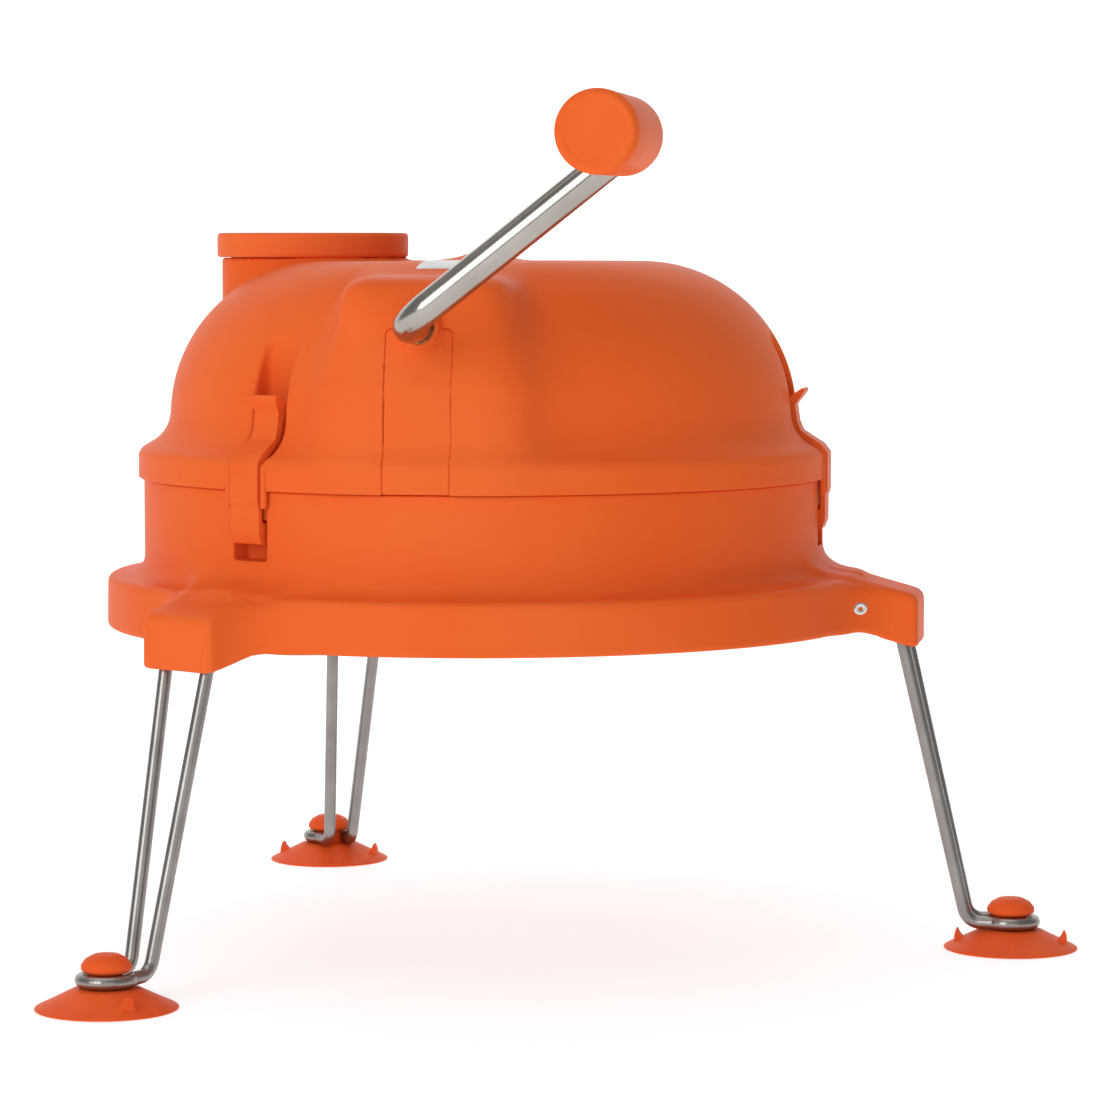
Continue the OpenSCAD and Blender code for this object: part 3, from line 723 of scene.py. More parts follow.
class Nodes:
    """Small helper that adds and joins shader nodes in one tree.

    Args:
        tree: the node tree to fill.
    """

    def __init__(self, tree: bpy.types.NodeTree) -> None:
        """Keeps the tree."""
        self.tree = tree

    def add(self, kind: str, **values: object) -> bpy.types.Node:
        """Adds a node and sets its own properties.

        Args:
            kind: the kind of node.
            values: its own properties.

        Returns:
            The node.
        """
        node = self.tree.nodes.new(kind)
        for name, value in values.items():
            setattr(node, name, value)
        return node

    def join(self, source: bpy.types.NodeSocket, target: bpy.types.NodeSocket) -> None:
        """Joins two sockets."""
        self.tree.links.new(source, target)

    def math(self, kind: str, a: object, b: object) -> bpy.types.NodeSocket:
        """Adds a sum, product or the like of two sockets or numbers.

        Args:
            kind: the sum to do.
            a: first socket or number.
            b: second socket or number.

        Returns:
            The result.
        """
        node = self.add("ShaderNodeMath", operation=kind)
        for slot, value in zip(node.inputs, (a, b)):
            if isinstance(value, bpy.types.NodeSocket):
                self.join(value, slot)
            else:
                slot.default_value = value
        return node.outputs[0]

    def shared(self, a: bpy.types.NodeSocket, b: bpy.types.NodeSocket, part: float,
               ) -> bpy.types.NodeSocket:
        """Adds a part of one value to the rest of another."""
        return self.math("ADD", self.math("MULTIPLY", a, part), self.math("MULTIPLY", b, 1.0 - part))

    def spread(self, value: bpy.types.NodeSocket, low: float, high: float) -> bpy.types.NodeSocket:
        """Spreads the values from low to high over 0 to 1.

        Args:
            value: the values to spread.
            low: what becomes 0.
            high: what becomes 1.

        Returns:
            The spread values.
        """
        node = self.add("ShaderNodeMapRange")
        node.inputs["From Min"].default_value = low
        node.inputs["From Max"].default_value = high
        self.join(value, node.inputs["Value"])
        return node.outputs["Result"]

    def mixed(self, amount: bpy.types.NodeSocket, a: bpy.types.NodeSocket,
              b: bpy.types.NodeSocket) -> bpy.types.NodeSocket:
        """Mixes two colours.

        Args:
            amount: 0 for the first, 1 for the second.
            a: the first colour.
            b: the second colour.

        Returns:
            The mixed colour.
        """
        mix = self.add("ShaderNodeMix", data_type="RGBA")
        for name, socket in (("Factor", amount), ("A", a), ("B", b)):
            self.join(socket, mix.inputs[name])
        return mix.outputs["Result"]

    def group(self, tree: bpy.types.NodeTree, values: dict[str, object]) -> bpy.types.Node:
        """Places a shared group.

        Args:
            tree: the group.
            values: its inputs by name, a colour as three numbers.

        Returns:
            The group's node.
        """
        node = self.add("ShaderNodeGroup", node_tree=tree)
        for name, value in values.items():
            node.inputs[name].default_value = (*value, 1.0) if isinstance(value, tuple) else value
        return node


class Effects:
    """Shader node groups that the finishes share, each built once."""

    def __init__(self) -> None:
        """Builds the groups."""
        self.tint = self._tint()
        self.wear = self._wear()
        self.rub = self._rub()

    @staticmethod
    def _group(name: str, inputs: Sequence[tuple[str, str]], outputs: Sequence[tuple[str, str]],
               ) -> tuple[bpy.types.NodeTree, Nodes, bpy.types.Node, bpy.types.Node]:
        """Makes an empty group with named sockets.

        Args:
            name: the group's name.
            inputs: (name, socket kind) of each input.
            outputs: (name, socket kind) of each output.

        Returns:
            The tree, a helper, its input node and its output node.
        """
        tree = bpy.data.node_groups.new(name, "ShaderNodeTree")
        for label, kind in inputs:
            tree.interface.new_socket(label, in_out="INPUT", socket_type=kind)
        for label, kind in outputs:
            tree.interface.new_socket(label, in_out="OUTPUT", socket_type=kind)
        nodes = Nodes(tree)
        return tree, nodes, nodes.add("NodeGroupInput"), nodes.add("NodeGroupOutput")

    @staticmethod
    def _noise(nodes: Nodes, size: object, detail: float, stretch: Optional[Colour] = None,
               ) -> bpy.types.NodeSocket:
        """Adds noise in the piece's own place, with an optional stretch.

        Args:
            nodes: the helper of the tree to fill.
            size: how fine the noise is, a socket or a number.
            detail: how many finer layers it has.
            stretch: scale along X, Y and Z.

        Returns:
            The noise.
        """
        at = nodes.add("ShaderNodeTexCoord").outputs["Object"]
        if stretch is not None:
            mapping = nodes.add("ShaderNodeMapping")
            mapping.inputs["Scale"].default_value = stretch
            nodes.join(at, mapping.inputs["Vector"])
            at = mapping.outputs["Vector"]
        noise = nodes.add("ShaderNodeTexNoise")
        noise.inputs["Detail"].default_value = detail
        nodes.join(at, noise.inputs["Vector"])
        if isinstance(size, bpy.types.NodeSocket):
            nodes.join(size, noise.inputs["Scale"])
        else:
            noise.inputs["Scale"].default_value = size
        return noise.outputs["Fac"]

    def _tint(self) -> bpy.types.NodeTree:
        """Colour that drifts softly between two shades, with a fine speckle.

        Returns:
            The group.
        """
        tree, nodes, given, out = self._group(
            "cloud_tint",
            [("Light", "NodeSocketColor"), ("Dark", "NodeSocketColor"), ("Size", "NodeSocketFloat")],
            [("Colour", "NodeSocketColor")])
        broad = self._noise(nodes, given.outputs["Size"], 3.0)
        fine = self._noise(nodes, 900.0, 2.0)
        drift = nodes.spread(nodes.shared(broad, fine, 0.85), 0.32, 0.68)
        shade = nodes.mixed(drift, given.outputs["Dark"], given.outputs["Light"])
        nodes.join(shade, out.inputs["Colour"])
        return tree

    def _wear(self) -> bpy.types.NodeTree:
        """Roughness with smudges and hairline marks, and a fine height.

        Returns:
            The group.
        """
        tree, nodes, given, out = self._group(
            "handling_wear",
            [("Roughness", "NodeSocketFloat"), ("Spread", "NodeSocketFloat"),
             ("Grain Size", "NodeSocketFloat")],
            [("Roughness", "NodeSocketFloat"), ("Height", "NodeSocketFloat")])
        smudge = self._noise(nodes, 14.0, 4.0)
        hairline = self._noise(nodes, 60.0, 3.0, (1.0, 1.0, 14.0))
        grain = self._noise(nodes, given.outputs["Grain Size"], 2.0)
        marks = nodes.shared(smudge, hairline, 0.7)
        off = nodes.math("MULTIPLY", nodes.math("SUBTRACT", marks, 0.5), given.outputs["Spread"])
        nodes.join(nodes.math("ADD", given.outputs["Roughness"], off), out.inputs["Roughness"])
        nodes.join(nodes.shared(grain, hairline, 0.6), out.inputs["Height"])
        return tree

    def _rub(self) -> bpy.types.NodeTree:
        """Colour that pales on raised edges as rubbed wear, and darkens in hollows as painted shade.

        Returns:
            The group.
        """
        tree, nodes, given, out = self._group(
            "edge_rub_and_hollow_shade",
            [("Colour", "NodeSocketColor"), ("Edge", "NodeSocketColor"), ("Hollow", "NodeSocketColor")],
            [("Colour", "NodeSocketColor")])
        bent = nodes.add("ShaderNodeNewGeometry").outputs["Pointiness"]
        patchy = self._noise(nodes, 70.0, 3.0)
        current = given.outputs["Colour"]
        # The Edge pass pales convex edges as rubbed wear; the Hollow pass darkens concave spots, which is
        # painted shade.
        for name, low, high, share in (("Edge", 0.53, 0.62, 0.35), ("Hollow", 0.48, 0.41, 0.5)):
            reach = nodes.math("MULTIPLY", nodes.spread(bent, low, high), patchy)
            amount = nodes.math("MULTIPLY", reach, share)
            current = nodes.mixed(amount, current, given.outputs[name])
        nodes.join(current, out.inputs["Colour"])
        return tree


@dataclass(frozen=True)
class Finish:
    """One finish, from colour to wear.

    Args:
        name: the finish's name.
        light: its lighter shade.
        dark: its darker shade.
        roughness: mean roughness.
        spread: how far smudges move the roughness.
        metallic: 1 for bare metal.
        grain: how fine the surface grain is.
        bump: depth of the grain, in millimetres.
        cloud: how fine the drift of colour is.
        specular: strength of the plain reflection.
    """

    name: str
    light: Colour
    dark: Colour
    roughness: float
    spread: float = 0.10
    metallic: float = 0.0
    grain: float = 1500.0
    bump: float = 0.02
    cloud: float = 9.0
    specular: float = 0.5

    def make(self, effects: Effects) -> bpy.types.Material:
        """Builds the material.

        Args:
            effects: the shared node groups.

        Returns:
            The material.
        """
        material = bpy.data.materials.new(self.name)
        material.use_nodes = True
        nodes = Nodes(material.node_tree)
        shader = material.node_tree.nodes["Principled BSDF"]
        shader.inputs["Metallic"].default_value = self.metallic
        shader.inputs["Specular IOR Level"].default_value = self.specular
        tint = nodes.group(effects.tint, {"Light": self.light, "Dark": self.dark, "Size": self.cloud})
        # pale is the colour of rubbed edges; deep is a darker copy of the colour, painted into hollows as
        # shade.
        pale = tuple(min(1.0, c * 1.12 + 0.02) for c in self.light)
        deep = tuple(c * 0.62 for c in self.dark)
        rub = nodes.group(effects.rub, {"Edge": pale, "Hollow": deep})
        nodes.join(tint.outputs["Colour"], rub.inputs["Colour"])
        nodes.join(rub.outputs["Colour"], shader.inputs["Base Color"])
        wear = nodes.group(effects.wear, {"Roughness": self.roughness, "Spread": self.spread,
                                          "Grain Size": self.grain})
        nodes.join(wear.outputs["Roughness"], shader.inputs["Roughness"])
        bump = nodes.add("ShaderNodeBump")
        bump.inputs["Distance"].default_value = self.bump * MM
        bump.inputs["Strength"].default_value = 0.6
        nodes.join(wear.outputs["Height"], bump.inputs["Height"])
        nodes.join(bump.outputs["Normal"], shader.inputs["Normal"])
        return material


ORANGE_LIGHT: Colour = (0.87, 0.150, 0.034)
ORANGE_DARK: Colour = (0.84, 0.122, 0.022)

FINISHES: dict[str, Finish] = {
    "orange_shell": Finish("orange_satin", ORANGE_LIGHT, ORANGE_DARK, 0.42, 0.12, specular=0.03),
    "orange_latch": Finish("orange_latch", ORANGE_LIGHT, ORANGE_DARK,
                           0.40, 0.12, cloud=30.0, specular=0.03),
    "orange_knob": Finish("orange_knob", (0.86, 0.162, 0.038), ORANGE_DARK,
                          0.44, 0.16, cloud=24.0, specular=0.03),
    # The pusher cap's orange is paler than the shell's to give its front more light: painted light.
    "orange_pusher": Finish("orange_pusher", (0.90, 0.172, 0.048), (0.88, 0.150, 0.036),
                            0.42, 0.12, specular=0.03),
    "cup_rubber": Finish("cup_rubber", (0.88, 0.122, 0.024), (0.80, 0.092, 0.016), 0.50, 0.16,
                         grain=900.0, bump=0.04, cloud=40.0, specular=0.10),
    # The polished tube and the leg wire have dark base colours that stand in for dark surroundings in their
    # reflections: painted dark reflection.
    "polished_tube": Finish("polished_tube", (0.49, 0.46, 0.42), (0.40, 0.37, 0.33), 0.20, 0.12,
                            metallic=1.0, grain=2500.0, bump=0.008, cloud=40.0),
    "leg_wire": Finish("leg_wire", (0.36, 0.34, 0.32), (0.27, 0.25, 0.24), 0.33, 0.12,
                       metallic=1.0, grain=2500.0, bump=0.012, cloud=60.0),
    "pin_steel": Finish("pin_steel", (0.82, 0.82, 0.81), (0.70, 0.70, 0.69), 0.22, 0.12, metallic=1.0),
    "hidden_steel": Finish("plain_steel", (0.68, 0.68, 0.67), (0.58, 0.58, 0.57), 0.36, 0.14,
                           metallic=1.0, cloud=30.0),
    "disc_steel": Finish("disc_steel", (0.76, 0.77, 0.78), (0.68, 0.69, 0.70), 0.30, 0.14,
                         metallic=1.0, cloud=20.0),
    "blank_plate": Finish("blank_plate", (0.60, 0.60, 0.59), (0.52, 0.52, 0.51), 0.38, 0.10,
                          metallic=1.0, cloud=60.0),
    "gear_plastic": Finish("gear_plastic", (0.80, 0.78, 0.72), (0.74, 0.72, 0.66), 0.50, 0.12),
    "bronze": Finish("bronze", (0.62, 0.44, 0.20), (0.52, 0.36, 0.16), 0.34, 0.14, metallic=1.0),
}


@dataclass
class Kit:
    """What every sub-assembly needs: the place of the axis and the finishes.

    Args:
        place: where the axis stands.
        materials: the built material of each slot.
    """

    place: Place
    materials: dict[str, bpy.types.Material] = field(default_factory=dict)

    def paint_all(self) -> None:
        """Builds the finishes and gives every CAD node its own."""
        effects = Effects()
        self.materials = {slot: finish.make(effects) for slot, finish in FINISHES.items()}
        for part in frame["record"]["subparts"]:
            node = frame["nodes"][part["node"]]
            node.data.materials.clear()
            node.data.materials.append(self.materials[part["material_slot"]])

    def fit(self, piece: bpy.types.Object, body: str, slot: str, *nodes: str) -> bpy.types.Object:
        """Dresses a piece and lets it ride on its body.

        Args:
            piece: the new piece.
            body: the body it moves with.
            slot: the finish it takes.
            nodes: CAD nodes that it stands for.

        Returns:
            The piece.
        """
        piece.data.materials.clear()
        piece.data.materials.append(self.materials[slot])
        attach(piece, body)
        if nodes:
            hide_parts(*nodes)
        LOG.info("%s rides on %s", piece.name, body)
        return piece


# ---------------------------------------------------------------------------
# Housing
# ---------------------------------------------------------------------------


@dataclass
class CoverShape:
    """The outer skin of the cover as one distance field."""

    band_r: float = 162.0
    band_top: float = 231.0
    rim: float = 218.0
    dome_r: float = 147.0
    dome_top: float = 318.75
    dome_round: float = 72.3
    bulge_half: float = 40.0
    bulge_top: float = 318.0
    bulge_front: float = 153.0
    bulge_low: float = 178.0
    feed_x: float = -90.0
    feed_y: float = 34.0
    feed_r: float = 43.6
    feed_bore: float = 40.2
    feed_top: float = 320.0
    feed_low: float = 227.5
    shaft_z: float = 291.0
    strip_half: float = 15.0
    strip_top: float = 290.0
    collar_r: float = 9.6
    gap: float = -0.12
    wall: float = 3.4
    nose_round: float = 19.0
    tube_edge: float = 1.2
    recess_z: float = 245.0
    lip_r: float = 154.2
    lip_z: float = 217.5
    lug_side: float = 10.7
    lug_face: float = 162.6

    def bulge(self, x: np.ndarray, y: np.ndarray, z: np.ndarray) -> np.ndarray:
        """Distance to the crank housing.

        Args:
            x: distances along X from the axis, in millimetres.
            y: distances along Y from the axis.
            z: heights.

        Returns:
            The distances, negative inside.
        """
        front = -y - self.bulge_front
        top = (z - self.bulge_top) + 0.033 * (-y - 44.0)
        nose = soft_max(front, top, self.nose_round)
        half_high = (self.bulge_top - self.bulge_low) / 2
        middle = (self.bulge_top + self.bulge_low) / 2
        sides = round_box(x, z - middle, (self.bulge_half, half_high + 2.0), 15.0)
        return np.maximum(soft_max(nose, sides, self.nose_round), y + 10.0)

    def skin(self, x: np.ndarray, y: np.ndarray, z: np.ndarray) -> np.ndarray:
        """Distance to the outer skin, open below, with its hollows.

        Args:
            x: distances along X from the axis, in millimetres.
            y: distances along Y from the axis.
            z: heights.

        Returns:
            The distances, negative inside.
        """
        rad = np.hypot(x, y)
        mid_r, mid_z = self.dome_r - self.dome_round, self.dome_top - self.dome_round
        dome = np.hypot(np.maximum(rad - mid_r, 0.0), np.maximum(z - mid_z, 0.0)) - self.dome_round
        lean = (rad - self.band_r) * 0.5 + (z - self.band_top) * 0.866
        band = soft_max(rad - self.band_r, lean, 3.0)
        high = np.clip((306.0 - z) / 40.0, 0.0, 1.0)
        body = soft_min(dome, self.bulge(x, y, z), 6.0 + 28.0 * high)
        body = soft_min(body, band, 9.0)
        tube = np.hypot(x - self.feed_x, y - self.feed_y) - self.feed_r
        tube = soft_max(tube, z - self.feed_top, self.tube_edge)
        body = soft_min(body, tube, 5.0)
        for station in Station:
            body = soft_max(body, -self.recess(x, y, z, station), 2.2)
        return body

    def recess(self, x: np.ndarray, y: np.ndarray, z: np.ndarray, station: Station) -> np.ndarray:
        """Distance to the hollow behind and above a latch.

        Args:
            x: distances along X from the axis, in millimetres.
            y: distances along Y from the axis.
            z: heights.
            station: the place round the housing.

        Returns:
            The distances, negative inside.
        """
        u, v = turned(x, y, station.value)
        floor = np.interp(z, (200, 222, 238, 250, 300), (156.9, 156.9, 138.0, 135.0, 135.0))
        back = (floor - u) * 0.8
        sides = round_box(v, z - self.recess_z, (10.0, 42.0), 8.0)
        return np.maximum(soft_max(back, sides, 3.0), 110.0 - u)

    def slot(self, x: np.ndarray, y: np.ndarray, z: np.ndarray, gap: float) -> np.ndarray:
        """Distance to the strip and collar of the crank bracket, seen from the front.

        Args:
            x: distances along X from the axis, in millimetres.
            y: distances along Y from the axis.
            z: heights.
            gap: room left round the bracket.

        Returns:
            The distances, negative inside.
        """
        high = self.strip_top - self.rim + 40.0
        up = z - self.strip_top - gap + high / 2
        strip = round_box(x, up, (self.strip_half + gap, high / 2), 3.0)
        over = np.minimum(strip, np.hypot(x, z - self.shaft_z) - self.collar_r - gap)
        return np.maximum(over, y + 128.0)

    def __call__(self, x: np.ndarray, y: np.ndarray, z: np.ndarray) -> np.ndarray:
        """Distance to the whole cover: a wall of even thickness with its fittings.

        Args:
            x: distances along X from the axis, in millimetres.
            y: distances along Y from the axis.
            z: heights.

        Returns:
            The distances, negative inside.
        """
        skin = self.skin(x, y, z)
        shell = np.maximum(skin, -(skin + self.wall))
        shell = soft_max(shell, self.rim - z, 0.9)
        pipe = np.hypot(x - self.feed_x, y - self.feed_y)
        middle, thick = (self.feed_r + self.feed_bore) / 2, (self.feed_r - self.feed_bore) / 2
        wall = np.maximum(np.abs(pipe - middle) - thick, self.feed_low - z)
        shell = np.minimum(shell, soft_max(wall, z - self.feed_top, self.tube_edge))
        shell = np.maximum(shell, self.feed_bore - pipe)
        rad = np.hypot(x, y)
        lip = np.maximum(np.abs(rad - self.lip_r) - 1.4, np.abs(z - self.lip_z) - 4.5)
        shell = np.minimum(shell, lip)
        for station in Station:
            u, v = turned(x, y, station.value)
            lug = round_box(np.abs(v) - self.lug_side, z - 221.6, (1.5, 11.2), 1.0)
            deep = np.where(z < self.rim, 159.9, 152.5)
            lug = soft_max(lug, np.maximum(u - self.lug_face, deep - u), 1.0)
            lug = soft_max(lug, (u - self.lug_face) * 0.6 + (z - 229.5) * 0.8, 1.5)
            shell = np.minimum(shell, lug)
        return soft_max(shell, -self.slot(x, y, z, self.gap), 0.35)


@dataclass
class Cover:
    """The domed cover with its feed tube and blank plate."""

    kit: Kit
    shape: CoverShape = field(default_factory=CoverShape)
    plate_half: float = 12.5
    plate_near: float = 61.0
    plate_far: float = 98.0
    plate_thick: float = 0.6

    def build(self) -> None:
        """Makes the cover and its plate."""
        zones = [(FRONT, 15.0, 0.42)] + [(s.value, 6.0, 0.42) for s in Station]
        grid = CylinderGrid(
            r=spaced((1.0, 61.0, 7.5), (61.0, 131.0, 2.0), (131.0, 165.0, 1.1)),
            z=spaced((206.0, 210.0, 1.5), (210.0, 248.0, 1.1), (248.0, 324.0, 1.9)),
            phi=angles_with_detail(1.25, zones),
        )
        cover = field_object("cover_skin", self.shape, grid, self.kit.place)
        self.kit.fit(cover, "base", "orange_shell", "cover_shell")
        self.kit.fit(self.plate(), "base", "blank_plate", "name_plate")

    def plate(self) -> bpy.types.Object:
        """Makes the blank plate that lies on the crank housing.

        Returns:
            The plate.
        """
        xs = np.linspace(-self.plate_half, self.plate_half, 11)
        ys = -np.linspace(self.plate_near, self.plate_far, 13)
        x, y = (g.ravel() for g in np.meshgrid(xs, ys, indexing="ij"))
        seat = halved(lambda z: self.shape.skin(x, y, z) < 0, 300.0, 325.0, len(x))
        verts = [np.stack([x, y, seat + d], axis=1) for d in (-0.25, self.plate_thick - 0.1)]
        n, m = len(xs), len(ys)
        faces = []
        for layer in (0, 1):
            base = layer * n * m
            for i in range(n - 1):
                for j in range(m - 1):
                    a = base + i * m + j
                    faces.append((a, a + 1, a + m + 1, a + m))
        rim = [i * m for i in range(n)] + [(n - 1) * m + j for j in range(1, m)]
        rim += [i * m + m - 1 for i in range(n - 2, -1, -1)] + list(range(m - 2, 0, -1))
        faces += [(a, b, b + n * m, a + n * m) for a, b in zip(rim, rim[1:] + rim[:1])]
        piece = mesh_object("blank_plate", self.kit.place.world(np.concatenate(verts)), faces)
        tidy_normals(piece)
        bevel = piece.modifiers.new("edges", "BEVEL")
        bevel.width = 0.15 * MM
        bevel.segments = 2
        return piece


@dataclass
class BaseShape:
    """The base housing as one distance field."""

    wall_r: float = 159.5
    rim: float = 218.0
    flange_r: float = 174.0
    flange_low: float = 152.0
    flange_top: float = 170.0
    arm_half: float = 19.1
    arm_end: float = 204.7
    arm_low: float = 143.5
    corner: float = 45.0
    nose_top: float = 165.3
    slope: float = 0.27
    wall: float = 2.5
    low_edge: float = 2.4
    low_slope: float = 0.233
    draft: float = 0.012
    window_z: float = 196.0
    window_half: float = 10.0

    def plan(self, rad: np.ndarray, u: np.ndarray, v: np.ndarray) -> np.ndarray:
        """Distance, seen from above, to the flange and an arm with hollow corners.

        Args:
            rad: distances from the main axis.
            u: distances along the arm.
            v: distances across the arm.

        Returns:
            The distances, negative inside.
        """
        rim, side = rad - self.flange_r, np.abs(v) - self.arm_half
        across = self.arm_half + self.corner
        along = math.sqrt((self.flange_r + self.corner) ** 2 - across ** 2)
        hollow = self.corner - np.hypot(u - along, np.abs(v) - across)
        near = (u < along) & (u > 0.0) & (np.abs(v) < across * u / along)
        return np.minimum(np.minimum(rim, side), np.where(near, hollow, 1000.0))

    def open_body(self, x: np.ndarray, y: np.ndarray, z: np.ndarray, bottom: bool) -> np.ndarray:
        """Distance to the outer skin, with or without its underside.

        Args:
            x: distances along X from the axis, in millimetres.
            y: distances along Y from the axis.
            z: heights.
            bottom: whether the underside closes it.

        Returns:
            The distances, negative inside.
        """
        rad = np.hypot(x, y)
        body = rad - self.wall_r
        for station in Station:
            u, v = turned(x, y, station.value)
            lean = self.draft * (z - self.arm_low)
            slope = (z - self.nose_top - self.slope * (200.7 - u)) * 0.96
            plan = soft_max(self.plan(rad, u, v) + lean, u - self.arm_end, 3.5)
            flare = 0.012 * np.clip(192.0 - u, 0.0, 60.0) ** 2
            sides = soft_max(np.abs(v) - self.arm_half - flare + lean, u - self.arm_end, 4.0)
            plate = soft_max(plan, np.maximum(z - self.flange_top, slope), 4.0)
            ridge = soft_max(sides, slope, 5.0)
            if bottom:
                under = self.flange_low - np.clip(u - 168.0, 0.0, 40.0) * self.low_slope
                plate = soft_max(plate, (under - z) * 0.95, self.low_edge)
                ridge = soft_max(ridge, (under - z) * 0.95, self.low_edge)
            ridge = np.maximum(ridge, 120.0 - u)
            here = soft_min(plate, ridge, 7.0)
            near = np.maximum(here, -u - 0.5 * rad)
            body = soft_min(body, near, 12.0)
        return body

    def __call__(self, x: np.ndarray, y: np.ndarray, z: np.ndarray) -> np.ndarray:
        """Distance to the whole base: wall, flange, arms, windows and inner bosses.

        Args:
            x: distances along X from the axis, in millimetres.
            y: distances along Y from the axis.
            z: heights.

        Returns:
            The distances, negative inside.
        """
        outer = soft_max(self.open_body(x, y, z, True), z - self.rim, 0.9)
        inner = self.open_body(x, y, z, False) + self.wall
        under = np.maximum(inner, z - self.rim + 60.0)
        bore = np.hypot(x, y) - (self.wall_r - 3.0)
        shell = np.maximum(outer, -np.minimum(under, bore))
        for angle in SPIDER_ANGLES:
            u, v = turned(x, y, angle)
            boss = round_box(v, z - 178.0, (7.0, 6.0), 1.5)
            boss = np.maximum(boss, np.maximum(138.8 - u, u - 157.5))
            shell = soft_min(shell, boss, 1.5)
        for station in Station:
            u, v = turned(x, y, station.value)
            up, half = z - self.window_z, self.window_half
            pocket = round_box(v, up, (half + 2.6, 11.6), 1.0)
            shell = np.minimum(shell, np.maximum(pocket, np.abs(u - 152.2) - 5.3))
            window = np.maximum(round_box(v, up, (half, 9.0), 0.9), 149.5 - u)
            channel = np.maximum(round_box(v, up - 10.0, (half, 19.0), 0.9), 157.9 - u)
            cut = np.minimum(window, channel)
            shell = soft_max(shell, -np.maximum(cut, u - 165.0), 0.8)
        return shell


@dataclass
class Base:
    """The base housing with its flange and three leg arms."""

    kit: Kit
    shape: BaseShape = field(default_factory=BaseShape)

    def build(self) -> None:
        """Makes the base."""
        zones = [(s.value, 19.0, 0.46) for s in Station] + [(a, 3.0, 0.6) for a in SPIDER_ANGLES]
        grid = CylinderGrid(
            r=spaced((136.0, 146.0, 2.5), (146.0, 162.4, 1.1), (162.4, 210.0, 1.25)),
            z=spaced((138.0, 182.0, 1.2), (182.0, 222.0, 1.25)),
            phi=angles_with_detail(1.5, zones),
        )
        base = field_object("base_skin", self.shape, grid, self.kit.place)
        self.kit.fit(base, "base", "orange_shell", "base_housing")


@dataclass
class BracketShape:
    """The strip in the cover's slot, its shaft collar and its sleeve as one distance field."""

    cover: CoverShape = field(default_factory=CoverShape)
    sunk: float = 0.5
    thick: float = 4.0
    collar_front: float = 158.0
    sleeve_r: float = 12.0
    sleeve_end: float = 42.0
    bore: float = 8.0
    lip: float = 7.35

    def __call__(self, x: np.ndarray, y: np.ndarray, z: np.ndarray) -> np.ndarray:
        """Distance to the bracket.

        Args:
            x: distances along X from the axis, in millimetres.
            y: distances along Y from the axis.
            z: heights.

        Returns:
            The distances, negative inside.
        """
        skin = self.cover.skin(x, y, z) + self.sunk
        strip = np.maximum(skin, -(skin + self.thick))
        strip = soft_max(strip, self.cover.slot(x, y, z, 0.0), 0.35)
        strip = soft_max(strip, self.cover.rim + 0.3 - z, 0.8)
        off = np.hypot(x, z - self.cover.shaft_z)
        half = self.cover.strip_half
        collar = soft_max(off - self.cover.collar_r, -y - self.collar_front, 1.2)
        collar = np.maximum(collar, y + 147.0)
        sleeve = np.maximum(off - self.sleeve_r, np.maximum(-y - 149.7, y + self.sleeve_end))
        foot = round_box(y + 153.5, z - 213.0, (2.0, 18.0), 0.5)
        foot = np.maximum(foot, np.abs(x) - half)
        block = np.maximum(np.abs(x) - half, np.maximum(np.abs(z - 224.5) - 6.2, skin + 1.0))
        block = np.maximum(block, y + 151.0)
        rib = np.maximum(np.abs(x) - 3.0, np.maximum(-y - 150.0, z - 286.0))
        rib = np.maximum(rib, (240.0 - z) * 0.8 + (y + 149.0) * 0.42)
        rib = np.maximum(rib, y + 60.0)
        whole = soft_min(strip, collar, 1.6)
        for part in (sleeve, foot, block, rib):
            whole = np.minimum(whole, part)
        hole = np.minimum(np.maximum(off - self.bore, -y - self.collar_front + 2.0), off - self.lip)
        return soft_max(whole, -hole, 0.5)


@dataclass
class Bracket:
    """The crank bracket."""

    kit: Kit
    shape: BracketShape = field(default_factory=BracketShape)

    def build(self) -> None:
        """Makes the bracket."""
        grid = CylinderGrid(
            r=spaced((38.0, 136.0, 2.2), (136.0, 166.0, 0.9)),
            z=spaced((192.0, 310.0, 1.0)),
            phi=spaced((248.0, 263.0, 1.2), (263.0, 277.2, 0.36), (277.2, 292.0, 1.2)),
            wraps=False,
        )
        bracket = field_object("bracket_skin", self.shape, grid, self.kit.place)
        self.kit.fit(bracket, "base", "orange_shell", "crank_bracket")


# ---------------------------------------------------------------------------
# Moving parts
# ---------------------------------------------------------------------------


